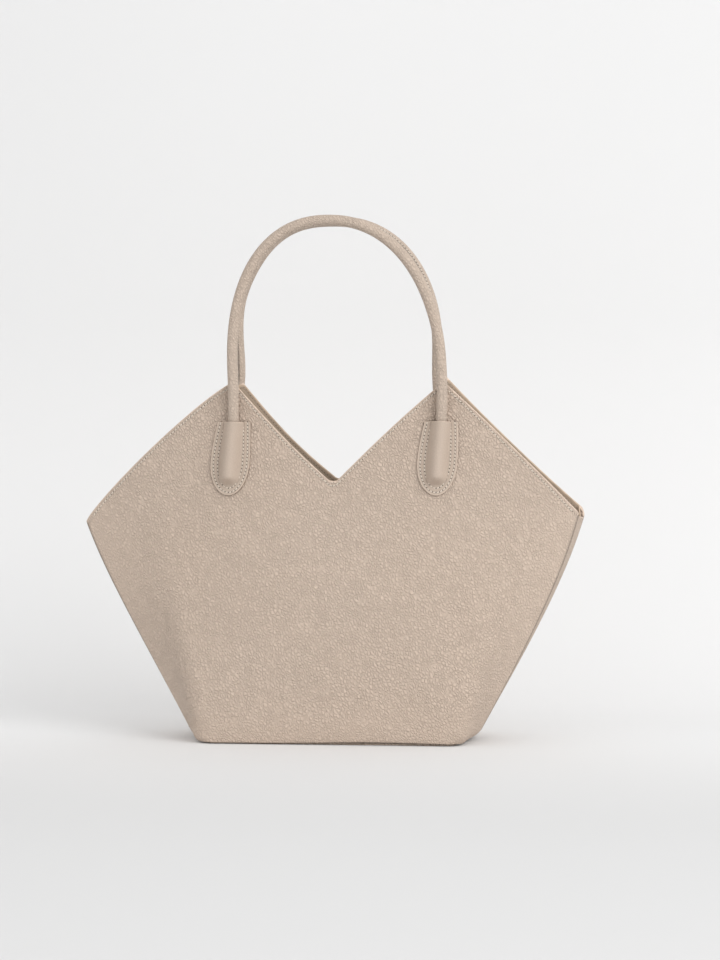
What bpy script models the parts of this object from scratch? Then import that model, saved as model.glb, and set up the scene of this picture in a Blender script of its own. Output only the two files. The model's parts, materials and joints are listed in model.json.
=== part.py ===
"""Leather tote bag with a V notched mouth, wing tips and two rolled handles.

Units are metres and +Z is up. The origin is the centre of the base on the surface
that the bag stands on. +X runs along the width and the front faces -Y.

Every soft sheet is a layer of one body surface: an outer leather panel, then the
reinforcements, then the facing and the lining. A point of that surface is given by
`share`, from -1 at the left side strip over 0 at the notch to 1 at the right one, and
`rise`, from 0 at the base to 1 at the top edge.
"""

from math import cos, pi, sin, sqrt

import bmesh
import bpy
from mathutils import Matrix, Vector

# Body outline
BASE_WIDTH = 0.236
BASE_DEPTH = 0.110
BASE_CORNER_RADIUS = 0.030
TIP_SPACING = 0.452
TIP_HEIGHT = 0.211
PEAK_SPACING = 0.194
PEAK_HEIGHT = 0.336
NOTCH_HEIGHT = 0.243
NOTCH_FLAT = 0.014
MOUTH_DEPTH = 0.060
TAPER_HEIGHT = 0.290
PANEL_SWAY = 0.006
PANEL_BULGE = 0.007

# Sheets and the clearances between them
PANEL_THICKNESS = 0.0020
PATCH_THICKNESS = 0.0008
LINING_THICKNESS = 0.0010
SHEET_GAP = 0.0005
SEAM_GAP = 0.0006
MERGE_DISTANCE = 0.00001
STRIP_WIDTH = 0.024
STRIP_TOP_DROP = 0.006
FACING_HEIGHT = 0.040

# Base
BASE_PANEL_THICKNESS = 0.0022
BASE_PANEL_ROUNDING = 0.0007
BOARD_THICKNESS = 0.0020
BOARD_MARGIN = 0.0040

# Handles
ROPE_RADIUS = 0.0050
ROPE_COVER = 0.0012
ROPE_CORE_GAP = 0.0003
LEG_SPACING = 0.192
LEG_TOP = 0.345
FRONT_HANDLE_TOP = 0.482
BACK_HANDLE_TOP = 0.492
HANDLE_END_LENGTH = 0.052
HANDLE_END_GAP = 0.0006
FRONT_HANDLE_SWAY = -0.009
BACK_HANDLE_SWAY = -0.010

# Handle tabs
TAB_TOP = 0.298
TAB_LENGTH = 0.068
TAB_TOP_WIDTH = 0.031
TAB_WIDTH = 0.0355
TAB_THICKNESS = 0.0016
TAB_SWELL_WIDTH = 0.019
TAB_SWELL_CLEARANCE = 0.0022
PATCH_WIDTH = 0.040
PATCH_LENGTH = 0.074

# Magnetic snap
SNAP_DROP = 0.030
SNAP_RADIUS = 0.009
SNAP_SOCKET_HEIGHT = 0.0036
SNAP_SOCKET_BORE = 0.0036
SNAP_STUD_FLANGE = 0.0018
SNAP_STUD_RADIUS = 0.0030
SNAP_STUD_HEIGHT = 0.0042
SNAP_BEVEL = 0.0004
WASHER_RADIUS = 0.008
WASHER_THICKNESS = 0.0007

# Slip pocket
POCKET_WIDTH = 0.130
POCKET_HEIGHT = 0.105
POCKET_SNAP_CLEARANCE = 0.039
POCKET_THICKNESS = 0.0012

# Shapes without a unit
FLARE_DROP_SHARE = 0.30
BULGE_RISE_SHARE = 0.55
LENS_POWER = 2.2
HANDLE_ARCH_POWER = 2.15
ROW_POWER = 1.25
FRONT_LEAN_POWER = 1.0
BACK_LEAN_POWER = 0.35
LEG_GUIDE_SHARE = 0.8
TAB_SWELL_POWER = 1.3

# Resolution
COLUMNS_NOTCH_TO_PEAK = 6
COLUMNS_PEAK_TO_TIP = 8
PANEL_ROWS = 16
LINING_ROWS = 14
FACING_ROWS = 3
HANDLE_STEPS = 32
ROPE_BEVEL_RESOLUTION = 2
TAB_SWELL_COLUMNS = 4
TAB_RIM_COLUMNS = 2
TAB_ROWS = 10
PATCH_COLUMNS = 6
PATCH_ROWS = 7
BASE_CORNER_STEPS = 6
SNAP_SIDES = 20
HANDLE_END_STEPS = 3
TAB_LAST_ROW_SHARE = 0.94
SURFACE_SEARCH_STEPS = 40

FRONT = -1
BACK = 1
SIDES = {"front": FRONT, "back": BACK}
ENDS = {"left": -1, "right": 1}

PEAK_SHARE = PEAK_SPACING / TIP_SPACING
LINING_OFFSET = PANEL_THICKNESS + PATCH_THICKNESS + 3 * SHEET_GAP
INNER_FACE = LINING_OFFSET + LINING_THICKNESS


def lerp(a, b, share):
    """Value `share` of the way from a to b."""
    return a + (b - a) * share


def clear_scene():
    """Remove whatever the file holds."""
    for obj in list(bpy.data.objects):
        bpy.data.objects.remove(obj, do_unlink=True)


def make_collection(name):
    """New collection linked to the scene."""
    collection = bpy.data.collections.new(name)
    bpy.context.scene.collection.children.link(collection)
    return collection


def make_material(name, colour, roughness, metallic=0.0):
    """Plain surface with one colour."""
    material = bpy.data.materials.new(name)
    material.use_nodes = True
    shader = material.node_tree.nodes["Principled BSDF"]
    shader.inputs["Base Color"].default_value = (*colour, 1.0)
    shader.inputs["Roughness"].default_value = roughness
    shader.inputs["Metallic"].default_value = metallic
    return material


def add_object(name, mesh, material, parent=None):
    """Named object in the bag's collection."""
    obj = bpy.data.objects.new(name, mesh)
    PARTS.objects.link(obj)
    mesh.materials.clear()
    mesh.materials.append(material)
    if parent is not None:
        obj.parent = parent
        obj.matrix_parent_inverse = parent.matrix_world.inverted()
    return obj


def add_pivot(name, location):
    """Empty on a joint's axis."""
    pivot = bpy.data.objects.new(name, None)
    pivot.empty_display_type = "SINGLE_ARROW"
    pivot.location = location
    pivot.matrix_world = Matrix.Translation(location)
    PARTS.objects.link(pivot)
    return pivot


# Body surface

def base_outline_point(share):
    """Point of the front half of the base outline.

    The outline is a rounded rectangle. Share 0 is the middle of the front and share 1
    is where the side strip starts.
    """
    flat = BASE_WIDTH / 2 - BASE_CORNER_RADIUS
    arc = BASE_CORNER_RADIUS * pi / 2
    end = BASE_DEPTH / 2 - BASE_CORNER_RADIUS - STRIP_WIDTH / 2
    run = abs(share) * (flat + arc + end)
    if run <= flat:
        x, y = run, -BASE_DEPTH / 2
    elif run <= flat + arc:
        angle = (run - flat) / BASE_CORNER_RADIUS
        x = flat + BASE_CORNER_RADIUS * sin(angle)
        y = -BASE_DEPTH / 2 + BASE_CORNER_RADIUS * (1 - cos(angle))
    else:
        x = BASE_WIDTH / 2
        y = -BASE_DEPTH / 2 + BASE_CORNER_RADIUS + run - flat - arc
    return (x if share >= 0 else -x), y


def top_edge_height(share):
    """Height of the top edge: notch, peak, then down to the wing tip."""
    flat_share = NOTCH_FLAT / TIP_SPACING
    reach = abs(share)
    if reach <= flat_share:
        return NOTCH_HEIGHT
    if reach <= PEAK_SHARE:
        return lerp(NOTCH_HEIGHT, PEAK_HEIGHT, (reach - flat_share) / (PEAK_SHARE - flat_share))
    return lerp(PEAK_HEIGHT, TIP_HEIGHT, (reach - PEAK_SHARE) / (1 - PEAK_SHARE))


def smooth(share):
    """Smooth step from 0 to 1."""
    share = max(0.0, min(1.0, share))
    return share * share * (3 - 2 * share)


def middle_depth(z):
    """Distance of the panel's middle from the middle plane: a low belly, then the narrow mouth."""
    swell = min(1.0, z / TAPER_HEIGHT) ** BULGE_RISE_SHARE
    return lerp(BASE_DEPTH, MOUTH_DEPTH, smooth(z / TAPER_HEIGHT)) / 2 + PANEL_BULGE * 4 * swell * (1 - swell)


def section_share(share, base_y, z):
    """How far a column stands out from the strip's edge, as a share of the middle of the panel.

    The section is a rounded rectangle at the base and a lens at the wing tips.
    """
    strip = STRIP_WIDTH / 2
    boxed = (abs(base_y) - strip) / (BASE_DEPTH / 2 - strip)
    lens = (1 + cos(pi * abs(share) ** LENS_POWER)) / 2
    return lerp(boxed, lens, smooth(z / TIP_HEIGHT))


def sway_at(z):
    """Sideways lean of the panels above the wing tips."""
    return PANEL_SWAY * max(0.0, (z - TIP_HEIGHT) / (PEAK_HEIGHT - TIP_HEIGHT))


def front_point(share, rise):
    """Point of the front panel's outer face."""
    base_x, base_y = base_outline_point(share)
    top_x = share * TIP_SPACING / 2
    floor_z = BASE_PANEL_THICKNESS + SEAM_GAP
    z = lerp(floor_z, top_edge_height(share), rise)
    flare = 1 - FLARE_DROP_SHARE * share ** 2
    x = lerp(base_x, top_x, rise ** flare) + sway_at(z)
    strip = STRIP_WIDTH / 2
    y = strip + (middle_depth(z) - strip) * section_share(share, base_y, z)
    return Vector((x, -y, z))


def inward_normal(share, rise):
    """Unit normal of the front panel, pointing into the bag."""
    step = 1 / (PANEL_ROWS * PANEL_ROWS)
    across = front_point(min(1, share + step), rise) - front_point(max(-1, share - step), rise)
    upward = front_point(share, min(1, rise + step)) - front_point(share, max(step * step, rise - step))
    return upward.cross(across).normalized()


def layer_point(share, rise, depth, side):
    """Point `depth` under the outer face, on the front or the back."""
    point = front_point(share, rise) + inward_normal(share, rise) * depth
    return Vector((point.x, -side * point.y, point.z))


def find_surface(x, z):
    """Share and rise of the panel point with the given x and z."""
    share = x / (TIP_SPACING / 2)
    rise = z / top_edge_height(share)
    for _ in range(SURFACE_SEARCH_STEPS):
        point = front_point(share, rise)
        share += (x - point.x) / (TIP_SPACING / 2)
        share = max(-1.0, min(1.0, share))
        rise += (z - point.z) / top_edge_height(share)
        rise = max(0.0, min(1.0, rise))
    return share, rise


def column_shares():
    """Shares of the columns, with one on each corner of the top edge."""
    flat_share = NOTCH_FLAT / TIP_SPACING
    half = [lerp(flat_share, PEAK_SHARE, i / COLUMNS_NOTCH_TO_PEAK) for i in range(COLUMNS_NOTCH_TO_PEAK)]
    half += [lerp(PEAK_SHARE, 1.0, i / COLUMNS_PEAK_TO_TIP) for i in range(COLUMNS_PEAK_TO_TIP + 1)]
    return [-share for share in reversed(half)] + [0.0] + half


# Meshes

def grid_mesh(name, rows, flip=False):
    """Open sheet through rows of points, all of the same count."""
    bm = bmesh.new()
    grid = [[bm.verts.new(point) for point in row] for row in rows]
    for lower, upper in zip(grid, grid[1:]):
        for i in range(len(lower) - 1):
            corners = [lower[i], lower[i + 1], upper[i + 1], upper[i]]
            bm.faces.new(reversed(corners) if flip else corners)
    bm.normal_update()
    mesh = bpy.data.meshes.new(name)
    bm.to_mesh(mesh)
    bm.free()
    return mesh


def curve_mesh(name, curve):
    """Mesh of a curve, with its caps joined to its sides."""
    guide = bpy.data.objects.new(name, curve)
    PARTS.objects.link(guide)
    graph = bpy.context.evaluated_depsgraph_get()
    mesh = bpy.data.meshes.new_from_object(guide.evaluated_get(graph))
    bpy.data.objects.remove(guide)
    bm = bmesh.new()
    bm.from_mesh(mesh)
    bmesh.ops.remove_doubles(bm, verts=bm.verts, dist=MERGE_DISTANCE)
    bmesh.ops.recalc_face_normals(bm, faces=bm.faces)
    bm.to_mesh(mesh)
    bm.free()
    mesh.name = name
    return mesh


def add_sheet(name, rows, thickness, material, side, outward=False):
    """Closed sheet: the rows are its outer face, and it grows to the inside or the outside."""
    mesh = grid_mesh(name, rows, flip=side == BACK)
    mesh.shade_smooth()
    obj = add_object(name, mesh, material)
    solidify = obj.modifiers.new("Thickness", "SOLIDIFY")
    solidify.thickness = thickness
    solidify.offset = 1.0 if outward else -1.0
    solidify.use_even_offset = True
    return obj


def row_share(i, count):
    """Share of a column under row i, with the rows closer together at the base."""
    return (i / count) ** ROW_POWER


def layer_rows(shares, bottom_at, top_at, count, depth, side):
    """Rows of a body layer between two limits of rise, given as functions of the share."""
    rows = []
    for i in range(count + 1):
        rises = [lerp(bottom_at(share), top_at(share), row_share(i, count)) for share in shares]
        rows.append([layer_point(share, rise, depth, side) for share, rise in zip(shares, rises)])
    return rows


def seam_point(end, rise, side):
    """Point of an inner layer behind a side strip, next to the middle plane."""
    step = 1 / (PANEL_ROWS * PANEL_ROWS)
    edge = front_point(float(end), rise)
    run = front_point(float(end), min(1, rise + step)) - front_point(float(end), max(step * step, rise - step))
    normal = Vector((-end * run.z, 0.0, end * run.x)).normalized()
    point = edge + normal * LINING_OFFSET
    return Vector((point.x, side * SEAM_GAP / 2, point.z))


def inner_rows(bottom_at, top_at, count, side):
    """Rows of an inner layer, which runs on behind the side strips to the middle plane."""
    reach = 1 - (PANEL_THICKNESS + 2 * SEAM_GAP) / (TIP_SPACING / 2)
    shares = [-reach] + column_shares()[1:-1] + [reach]
    rows = layer_rows(shares, bottom_at, top_at, count, LINING_OFFSET, side)
    for i, row in enumerate(rows):
        rise = lerp(bottom_at(1.0), top_at(1.0), row_share(i, count))
        row.insert(0, seam_point(-1, rise, side))
        row.append(seam_point(1, rise, side))
    return rows


# Pieces of the body

def build_panels():
    """Outer leather panels, front and back."""
    for label, side in SIDES.items():
        rows = layer_rows(column_shares(), lambda share: 0.0, lambda share: 1.0, PANEL_ROWS, 0.0, side)
        add_sheet(f"{label}_panel", rows, PANEL_THICKNESS, LEATHER, side)


def strip_half_width(rise):
    """Half width of a side strip that fits between the panels' edges."""
    outer = abs(front_point(1.0, rise).y)
    inner = abs(layer_point(1.0, rise, PANEL_THICKNESS, FRONT).y)
    return min(outer, inner) - SEAM_GAP


def build_side_strips():
    """Narrow strips that join the panels at each end."""
    for label, end in ENDS.items():
        top_rise = 1 - STRIP_TOP_DROP / TIP_HEIGHT
        rows = []
        for i in range(PANEL_ROWS + 1):
            rise = top_rise * row_share(i, PANEL_ROWS)
            centre = front_point(1.0, rise)
            half = strip_half_width(rise)
            x = end * (centre.x - sway_at(centre.z)) + sway_at(centre.z)
            rows.append([Vector((x, end * y, centre.z)) for y in (-half, 0.0, half)])
        mesh = grid_mesh(f"{label}_side_strip", rows)
        mesh.shade_smooth()
        obj = add_object(f"{label}_side_strip", mesh, LEATHER)
        solidify = obj.modifiers.new("Thickness", "SOLIDIFY")
        solidify.thickness = PANEL_THICKNESS
        solidify.offset = -1.0
        solidify.use_even_offset = True


def rounded_rectangle(half_x, half_y, radius):
    """Outline of a rectangle with round corners, counterclockwise."""
    points = []
    for quarter, (sx, sy) in enumerate(((1, 1), (-1, 1), (-1, -1), (1, -1))):
        for i in range(BASE_CORNER_STEPS + 1):
            angle = (quarter + i / BASE_CORNER_STEPS) * pi / 2
            x = sx * (half_x - radius) + radius * cos(angle)
            y = sy * (half_y - radius) + radius * sin(angle)
            points.append((x, y))
    return points


def add_plate(name, inset, z, thickness, material):
    """Flat plate with the outline of the base, made smaller by an inset."""
    outline = rounded_rectangle(BASE_WIDTH / 2 - inset, BASE_DEPTH / 2 - inset, BASE_CORNER_RADIUS - inset)
    curve = bpy.data.curves.new(name, "CURVE")
    curve.dimensions = "2D"
    curve.fill_mode = "BOTH"
    curve.extrude = thickness / 2
    spline = curve.splines.new("POLY")
    spline.points.add(len(outline) - 1)
    for control, (x, y) in zip(spline.points, outline):
        control.co = (x, y, 0.0, 1.0)
    spline.use_cyclic_u = True
    plate = add_object(name, curve_mesh(name, curve), material)
    plate.location.z = z + thickness / 2
    return plate


def build_base():
    """Leather bottom, the board over it and the bottom of the lining."""
    base = add_plate("base_panel", 0.0, 0.0, BASE_PANEL_THICKNESS, LEATHER)
    bevel = base.modifiers.new("Rounding", "BEVEL")
    bevel.width = BASE_PANEL_ROUNDING
    bevel.segments = 1
    bevel.limit_method = "ANGLE"

    inset = PANEL_THICKNESS + BOARD_MARGIN
    board_z = BASE_PANEL_THICKNESS + SHEET_GAP
    add_plate("base_board", inset, board_z, BOARD_THICKNESS, BOARD)
    lining_z = board_z + BOARD_THICKNESS + SHEET_GAP
    add_plate("base_lining", inset, lining_z, LINING_THICKNESS, LINING)


def build_facings_and_linings():
    """Leather bands inside the mouth and the cloth lining under them."""
    lining_bottom = BASE_PANEL_THICKNESS + 2 * SHEET_GAP
    for label, side in SIDES.items():
        def band_rise(share):
            return 1 - FACING_HEIGHT / top_edge_height(share)

        def lining_top(share):
            return band_rise(share) - SEAM_GAP / top_edge_height(share)

        def lining_start(share):
            return lining_bottom / top_edge_height(share)

        rows = inner_rows(band_rise, lambda share: 1.0, FACING_ROWS, side)
        add_sheet(f"{label}_facing", rows, LINING_THICKNESS, LEATHER, side)
        rows = inner_rows(lining_start, lining_top, LINING_ROWS, side)
        add_sheet(f"{label}_lining", rows, LINING_THICKNESS, LINING, side)


def surface_patch(x, top, bottom, widths, depth, side):
    """Rows of points over the panel, centred on x, each `depth` under the outer face."""
    rows = []
    for i, half in enumerate(widths):
        z = lerp(bottom, top, i / (len(widths) - 1))
        row = []
        for j in range(PATCH_COLUMNS + 1):
            u = lerp(-half, half, j / PATCH_COLUMNS)
            share, rise = find_surface(x + u, z)
            row.append(layer_point(share, rise, depth, side))
        rows.append(row)
    return rows


def leg_x(end):
    """Place of a handle leg across the bag."""
    return end * LEG_SPACING / 2 + sway_at(TAB_TOP)


def build_patches():
    """Reinforcements behind the panels at the tabs."""
    depth = PANEL_THICKNESS + SHEET_GAP
    middle = TAB_TOP - TAB_LENGTH / 2
    for label, side in SIDES.items():
        for end_label, end in ENDS.items():
            halves = [PATCH_WIDTH / 2] * PATCH_ROWS
            rows = surface_patch(
                leg_x(end), middle + PATCH_LENGTH / 2, middle - PATCH_LENGTH / 2, halves, depth, side)
            add_sheet(f"{label}_{end_label}_patch", rows, PATCH_THICKNESS, LINING, side)


# Handle tabs and handles

def tab_half_width(drop):
    """Half width of a tab at a distance under its top edge."""
    round_start = TAB_LENGTH - TAB_WIDTH / 2
    if drop <= round_start:
        return lerp(TAB_TOP_WIDTH, TAB_WIDTH, sin(drop / round_start * pi / 2)) / 2
    fall = (drop - round_start) / (TAB_WIDTH / 2)
    return TAB_WIDTH / 2 * sqrt(max(0.0, 1 - fall ** 2))


def tab_columns(drop):
    """Places of a tab's columns across it, closer together over the end of the handle."""
    half = tab_half_width(drop)
    swell = half * TAB_SWELL_WIDTH / TAB_WIDTH
    right = [swell * i / TAB_SWELL_COLUMNS for i in range(1, TAB_SWELL_COLUMNS + 1)]
    right += [lerp(swell, half, i / TAB_RIM_COLUMNS) for i in range(1, TAB_RIM_COLUMNS + 1)]
    return [-u for u in reversed(right)] + [0.0] + right


def tab_swell(u, drop):
    """Height of the tab's inner face over the panel: it rises over the end of the handle."""
    reach = abs(u) / (TAB_SWELL_WIDTH / 2)
    if reach >= 1:
        return 0.0
    height = 2 * ROPE_RADIUS + TAB_SWELL_CLEARANCE
    fade_length = TAB_LENGTH - HANDLE_END_LENGTH - SHEET_GAP
    fade = (drop - HANDLE_END_LENGTH) / (fade_length * TAB_TOP_WIDTH / TAB_WIDTH)
    fade = max(0.0, min(1.0, fade))
    return height * (1 - reach ** 2) ** TAB_SWELL_POWER * (1 + cos(pi * fade)) / 2


def tab_drops():
    """Distances of a tab's rows under its top edge, closer together at the round end."""
    round_start = TAB_LENGTH - TAB_WIDTH / 2
    upper = TAB_ROWS // 2
    drops = [round_start * i / upper for i in range(upper)]
    for i in range(TAB_ROWS - upper + 1):
        angle = i / (TAB_ROWS - upper) * TAB_LAST_ROW_SHARE * pi / 2
        drops.append(round_start + TAB_WIDTH / 2 * sin(angle))
    return drops


def build_tabs():
    """U-shaped tabs that hold the handle ends."""
    for label, side in SIDES.items():
        for end_label, end in ENDS.items():
            rows = []
            for drop in reversed(tab_drops()):
                row = []
                for u in tab_columns(drop):
                    share, rise = find_surface(leg_x(end) + u, TAB_TOP - drop)
                    height = SHEET_GAP + tab_swell(u, drop)
                    row.append(layer_point(share, rise, -height, side))
                rows.append(row)
            add_sheet(f"{label}_{end_label}_tab", rows, TAB_THICKNESS, LEATHER, side, outward=True)


def rope_centre(end, z):
    """Middle of a handle's end over the front panel, at height z."""
    share, rise = find_surface(leg_x(end), z)
    return layer_point(share, rise, -(ROPE_RADIUS + 2 * SHEET_GAP), FRONT)


def handle_frame(side):
    """Point between the two legs at the tabs' top, and the direction that the legs rise in.

    The legs rise along the panel's peaks.
    """
    start = (rope_centre(-1, TAB_TOP) + rope_centre(1, TAB_TOP)) / 2
    guide_z = lerp(TAB_TOP, PEAK_HEIGHT, LEG_GUIDE_SHARE)
    guide = (rope_centre(-1, guide_z) + rope_centre(1, guide_z)) / 2
    rising = guide - start
    rising.x = 0.0
    rising.normalize()
    start.x = sway_at(TAB_TOP)
    return (Vector((start.x, -side * start.y, start.z)), Vector((0.0, -side * rising.y, rising.z)))


def handle_points(side, top, sway, lean_power):
    """Centre line of a handle from the left tab over the arch to the right tab.

    The arch is a superellipse on two straight legs, and leans sideways by the sway.
    """
    start, rising = handle_frame(side)
    leg = (LEG_TOP - TAB_TOP) / rising.z
    arch = (top - LEG_TOP) / rising.z
    rise_total = leg + arch
    points = []
    for i in range(HANDLE_STEPS + 1):
        angle = pi * (1 - i / HANDLE_STEPS)
        across = LEG_SPACING / 2 * abs(cos(angle)) ** (2 / HANDLE_ARCH_POWER)
        if cos(angle) < 0:
            across = -across
        climb = leg + arch * sin(angle) ** (2 / HANDLE_ARCH_POWER)
        points.append((across, climb))
    points = [(-LEG_SPACING / 2, HANDLE_END_GAP)] + points + [(LEG_SPACING / 2, HANDLE_END_GAP)]
    line = []
    for across, climb in points:
        lean = sway * (climb / rise_total) ** lean_power
        line.append(start + Vector((across + lean, 0.0, 0.0)) + rising * climb)
    return line


def tube_mesh(name, points, radius, capped):
    """Round tube along a line of points."""
    curve = bpy.data.curves.new(name, "CURVE")
    curve.dimensions = "3D"
    curve.bevel_depth = radius
    curve.bevel_resolution = ROPE_BEVEL_RESOLUTION
    curve.use_fill_caps = capped
    spline = curve.splines.new("POLY")
    spline.points.add(len(points) - 1)
    for control, point in zip(spline.points, points):
        control.co = (*point, 1.0)
    mesh = curve_mesh(name, curve)
    mesh.shade_smooth()
    return mesh


def build_handles():
    """Rolled handles: a leather tube over a cord, and their ends under the tabs."""
    shapes = {
        "front": (FRONT_HANDLE_TOP, FRONT_HANDLE_SWAY, FRONT_LEAN_POWER),
        "back": (BACK_HANDLE_TOP, BACK_HANDLE_SWAY, BACK_LEAN_POWER),
    }
    core_radius = ROPE_RADIUS - ROPE_COVER - ROPE_CORE_GAP
    for label, side in SIDES.items():
        points = handle_points(side, *shapes[label])
        start, _ = handle_frame(side)
        reach = abs(start.y) + ROPE_RADIUS + TAB_SWELL_CLEARANCE + TAB_THICKNESS
        pivot = add_pivot(f"{label}_handle_pivot", Vector((start.x, side * reach, TAB_TOP)))
        cover = add_object(
            f"{label}_handle_cover", tube_mesh(f"{label}_handle_cover", points, ROPE_RADIUS, False),
            LEATHER, pivot)
        solidify = cover.modifiers.new("Thickness", "SOLIDIFY")
        solidify.thickness = ROPE_COVER
        solidify.offset = -1.0
        add_object(
            f"{label}_handle_core", tube_mesh(f"{label}_handle_core", points, core_radius, True),
            CORD, pivot)
        for end_label, end in ENDS.items():
            drops = [HANDLE_END_LENGTH * i / HANDLE_END_STEPS for i in range(HANDLE_END_STEPS + 1)]
            line = [rope_centre(end, TAB_TOP - drop) for drop in drops]
            line = [Vector((point.x, -side * point.y, point.z)) for point in line]
            name = f"{label}_{end_label}_handle_end"
            add_object(name, tube_mesh(name, line, ROPE_RADIUS, True), LEATHER)


# Magnetic snap and pocket

def turned_mesh(name, profile):
    """Solid of revolution about local Z from (radius, height) points, top to bottom."""
    bm = bmesh.new()
    vertices = [bm.verts.new((radius, 0.0, height)) for radius, height in profile]
    for first, second in zip(vertices, vertices[1:]):
        bm.edges.new((first, second))
    mesh = bpy.data.meshes.new(name)
    bm.to_mesh(mesh)
    bm.free()
    return mesh


def add_turned(name, profile, material, matrix):
    """Turned piece placed by a matrix."""
    obj = add_object(name, turned_mesh(name, profile), material)
    screw = obj.modifiers.new("Turn", "SCREW")
    screw.steps = SNAP_SIDES
    screw.render_steps = SNAP_SIDES
    screw.use_merge_vertices = True
    screw.merge_threshold = MERGE_DISTANCE
    obj.matrix_world = matrix
    return obj


def snap_matrix(side, depth):
    """Local Z points into the bag, at the snap's place under the notch."""
    z = NOTCH_HEIGHT - SNAP_DROP
    share, rise = find_surface(sway_at(z), z)
    place = layer_point(share, rise, depth, side)
    normal = inward_normal(share, rise)
    normal = Vector((0.0, -side * normal.y, normal.z)).normalized()
    across = Vector((1.0, 0.0, 0.0))
    upward = normal.cross(across)
    rotation = Matrix((across, upward, normal)).transposed().to_4x4()
    return Matrix.Translation(place) @ rotation


def build_snap():
    """Socket and stud of the magnetic snap, with a washer behind each facing."""
    inner = INNER_FACE + SHEET_GAP
    bore_floor = SNAP_SOCKET_HEIGHT / 3
    socket = [
        (0.0, bore_floor),
        (SNAP_SOCKET_BORE, bore_floor),
        (SNAP_SOCKET_BORE, SNAP_SOCKET_HEIGHT),
        (SNAP_RADIUS - SNAP_BEVEL, SNAP_SOCKET_HEIGHT),
        (SNAP_RADIUS, SNAP_SOCKET_HEIGHT - SNAP_BEVEL),
        (SNAP_RADIUS, 0.0),
        (0.0, 0.0),
    ]
    add_turned("snap_socket", socket, METAL, snap_matrix(FRONT, inner))
    stud = [
        (0.0, SNAP_STUD_HEIGHT),
        (SNAP_STUD_RADIUS - SNAP_BEVEL, SNAP_STUD_HEIGHT),
        (SNAP_STUD_RADIUS, SNAP_STUD_HEIGHT - SNAP_BEVEL),
        (SNAP_STUD_RADIUS, SNAP_STUD_FLANGE),
        (SNAP_RADIUS - SNAP_BEVEL, SNAP_STUD_FLANGE),
        (SNAP_RADIUS, SNAP_STUD_FLANGE - SNAP_BEVEL),
        (SNAP_RADIUS, 0.0),
        (0.0, 0.0),
    ]
    add_turned("snap_stud", stud, METAL, snap_matrix(BACK, inner))
    washer = [
        (0.0, WASHER_THICKNESS),
        (WASHER_RADIUS, WASHER_THICKNESS),
        (WASHER_RADIUS, 0.0),
        (0.0, 0.0),
    ]
    for label, side in SIDES.items():
        add_turned(f"{label}_snap_washer", washer, METAL, snap_matrix(side, PANEL_THICKNESS + SHEET_GAP))


def build_pocket():
    """Slip pocket on the back lining, under the snap."""
    depth = INNER_FACE + SHEET_GAP
    top = NOTCH_HEIGHT - SNAP_DROP - SNAP_RADIUS - POCKET_SNAP_CLEARANCE
    rows = surface_patch(0.0, top, top - POCKET_HEIGHT, [POCKET_WIDTH / 2] * PATCH_ROWS, depth, BACK)
    add_sheet("slip_pocket", rows, POCKET_THICKNESS, LINING, BACK)


clear_scene()
PARTS = make_collection("tote_bag")
LEATHER = make_material("leather", (0.56, 0.44, 0.35), 0.55)
LINING = make_material("lining", (0.36, 0.27, 0.20), 0.85)
BOARD = make_material("board", (0.30, 0.27, 0.24), 0.90)
CORD = make_material("cord", (0.62, 0.58, 0.50), 0.90)
METAL = make_material("metal", (0.62, 0.60, 0.57), 0.30, 1.0)

build_panels()
build_side_strips()
build_base()
build_facings_and_linings()
build_patches()
build_tabs()
build_handles()
build_snap()
build_pocket()
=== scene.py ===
"""Leather tote bag with a V notched mouth, pointed tips and two rolled handles.

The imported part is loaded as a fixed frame. Each leather, cloth and thread piece is built
round it as a soft form, and the stiff pieces inside keep their solids with a fuller finish.
Lengths are in metres, +Z is up and the front faces -Y.
"""

from __future__ import annotations

import json
import logging
from dataclasses import dataclass, field
from enum import Enum
from itertools import accumulate
from math import cos, exp, hypot, pi, radians, sin, sqrt
from typing import Callable, ClassVar, Iterable, Sequence

import bpy
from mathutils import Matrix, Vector

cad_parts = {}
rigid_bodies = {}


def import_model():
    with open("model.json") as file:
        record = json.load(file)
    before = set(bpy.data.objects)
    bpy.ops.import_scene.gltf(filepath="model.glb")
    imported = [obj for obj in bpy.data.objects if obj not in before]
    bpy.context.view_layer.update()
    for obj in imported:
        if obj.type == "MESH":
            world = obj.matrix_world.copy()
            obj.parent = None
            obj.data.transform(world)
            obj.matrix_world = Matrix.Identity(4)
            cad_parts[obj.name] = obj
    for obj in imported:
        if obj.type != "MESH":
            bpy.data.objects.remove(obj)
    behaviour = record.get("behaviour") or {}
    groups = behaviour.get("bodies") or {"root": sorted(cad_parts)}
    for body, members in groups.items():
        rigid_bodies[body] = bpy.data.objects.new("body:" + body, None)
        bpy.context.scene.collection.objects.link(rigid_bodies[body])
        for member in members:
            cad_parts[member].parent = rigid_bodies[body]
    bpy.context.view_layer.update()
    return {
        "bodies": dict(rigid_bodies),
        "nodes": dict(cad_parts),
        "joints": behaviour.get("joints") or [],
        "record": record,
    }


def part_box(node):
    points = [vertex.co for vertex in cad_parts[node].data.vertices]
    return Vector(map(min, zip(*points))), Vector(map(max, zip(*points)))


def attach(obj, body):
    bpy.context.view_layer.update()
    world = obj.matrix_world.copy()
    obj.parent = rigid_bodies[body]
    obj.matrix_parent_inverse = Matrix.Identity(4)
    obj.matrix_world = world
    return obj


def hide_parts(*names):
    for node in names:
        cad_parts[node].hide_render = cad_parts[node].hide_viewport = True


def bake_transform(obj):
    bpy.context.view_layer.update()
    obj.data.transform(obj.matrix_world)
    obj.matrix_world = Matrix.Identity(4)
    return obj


LOG = logging.getLogger("tote_bag")

Colour = tuple[float, float, float]
Depth = Callable[[float, float], float]
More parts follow.
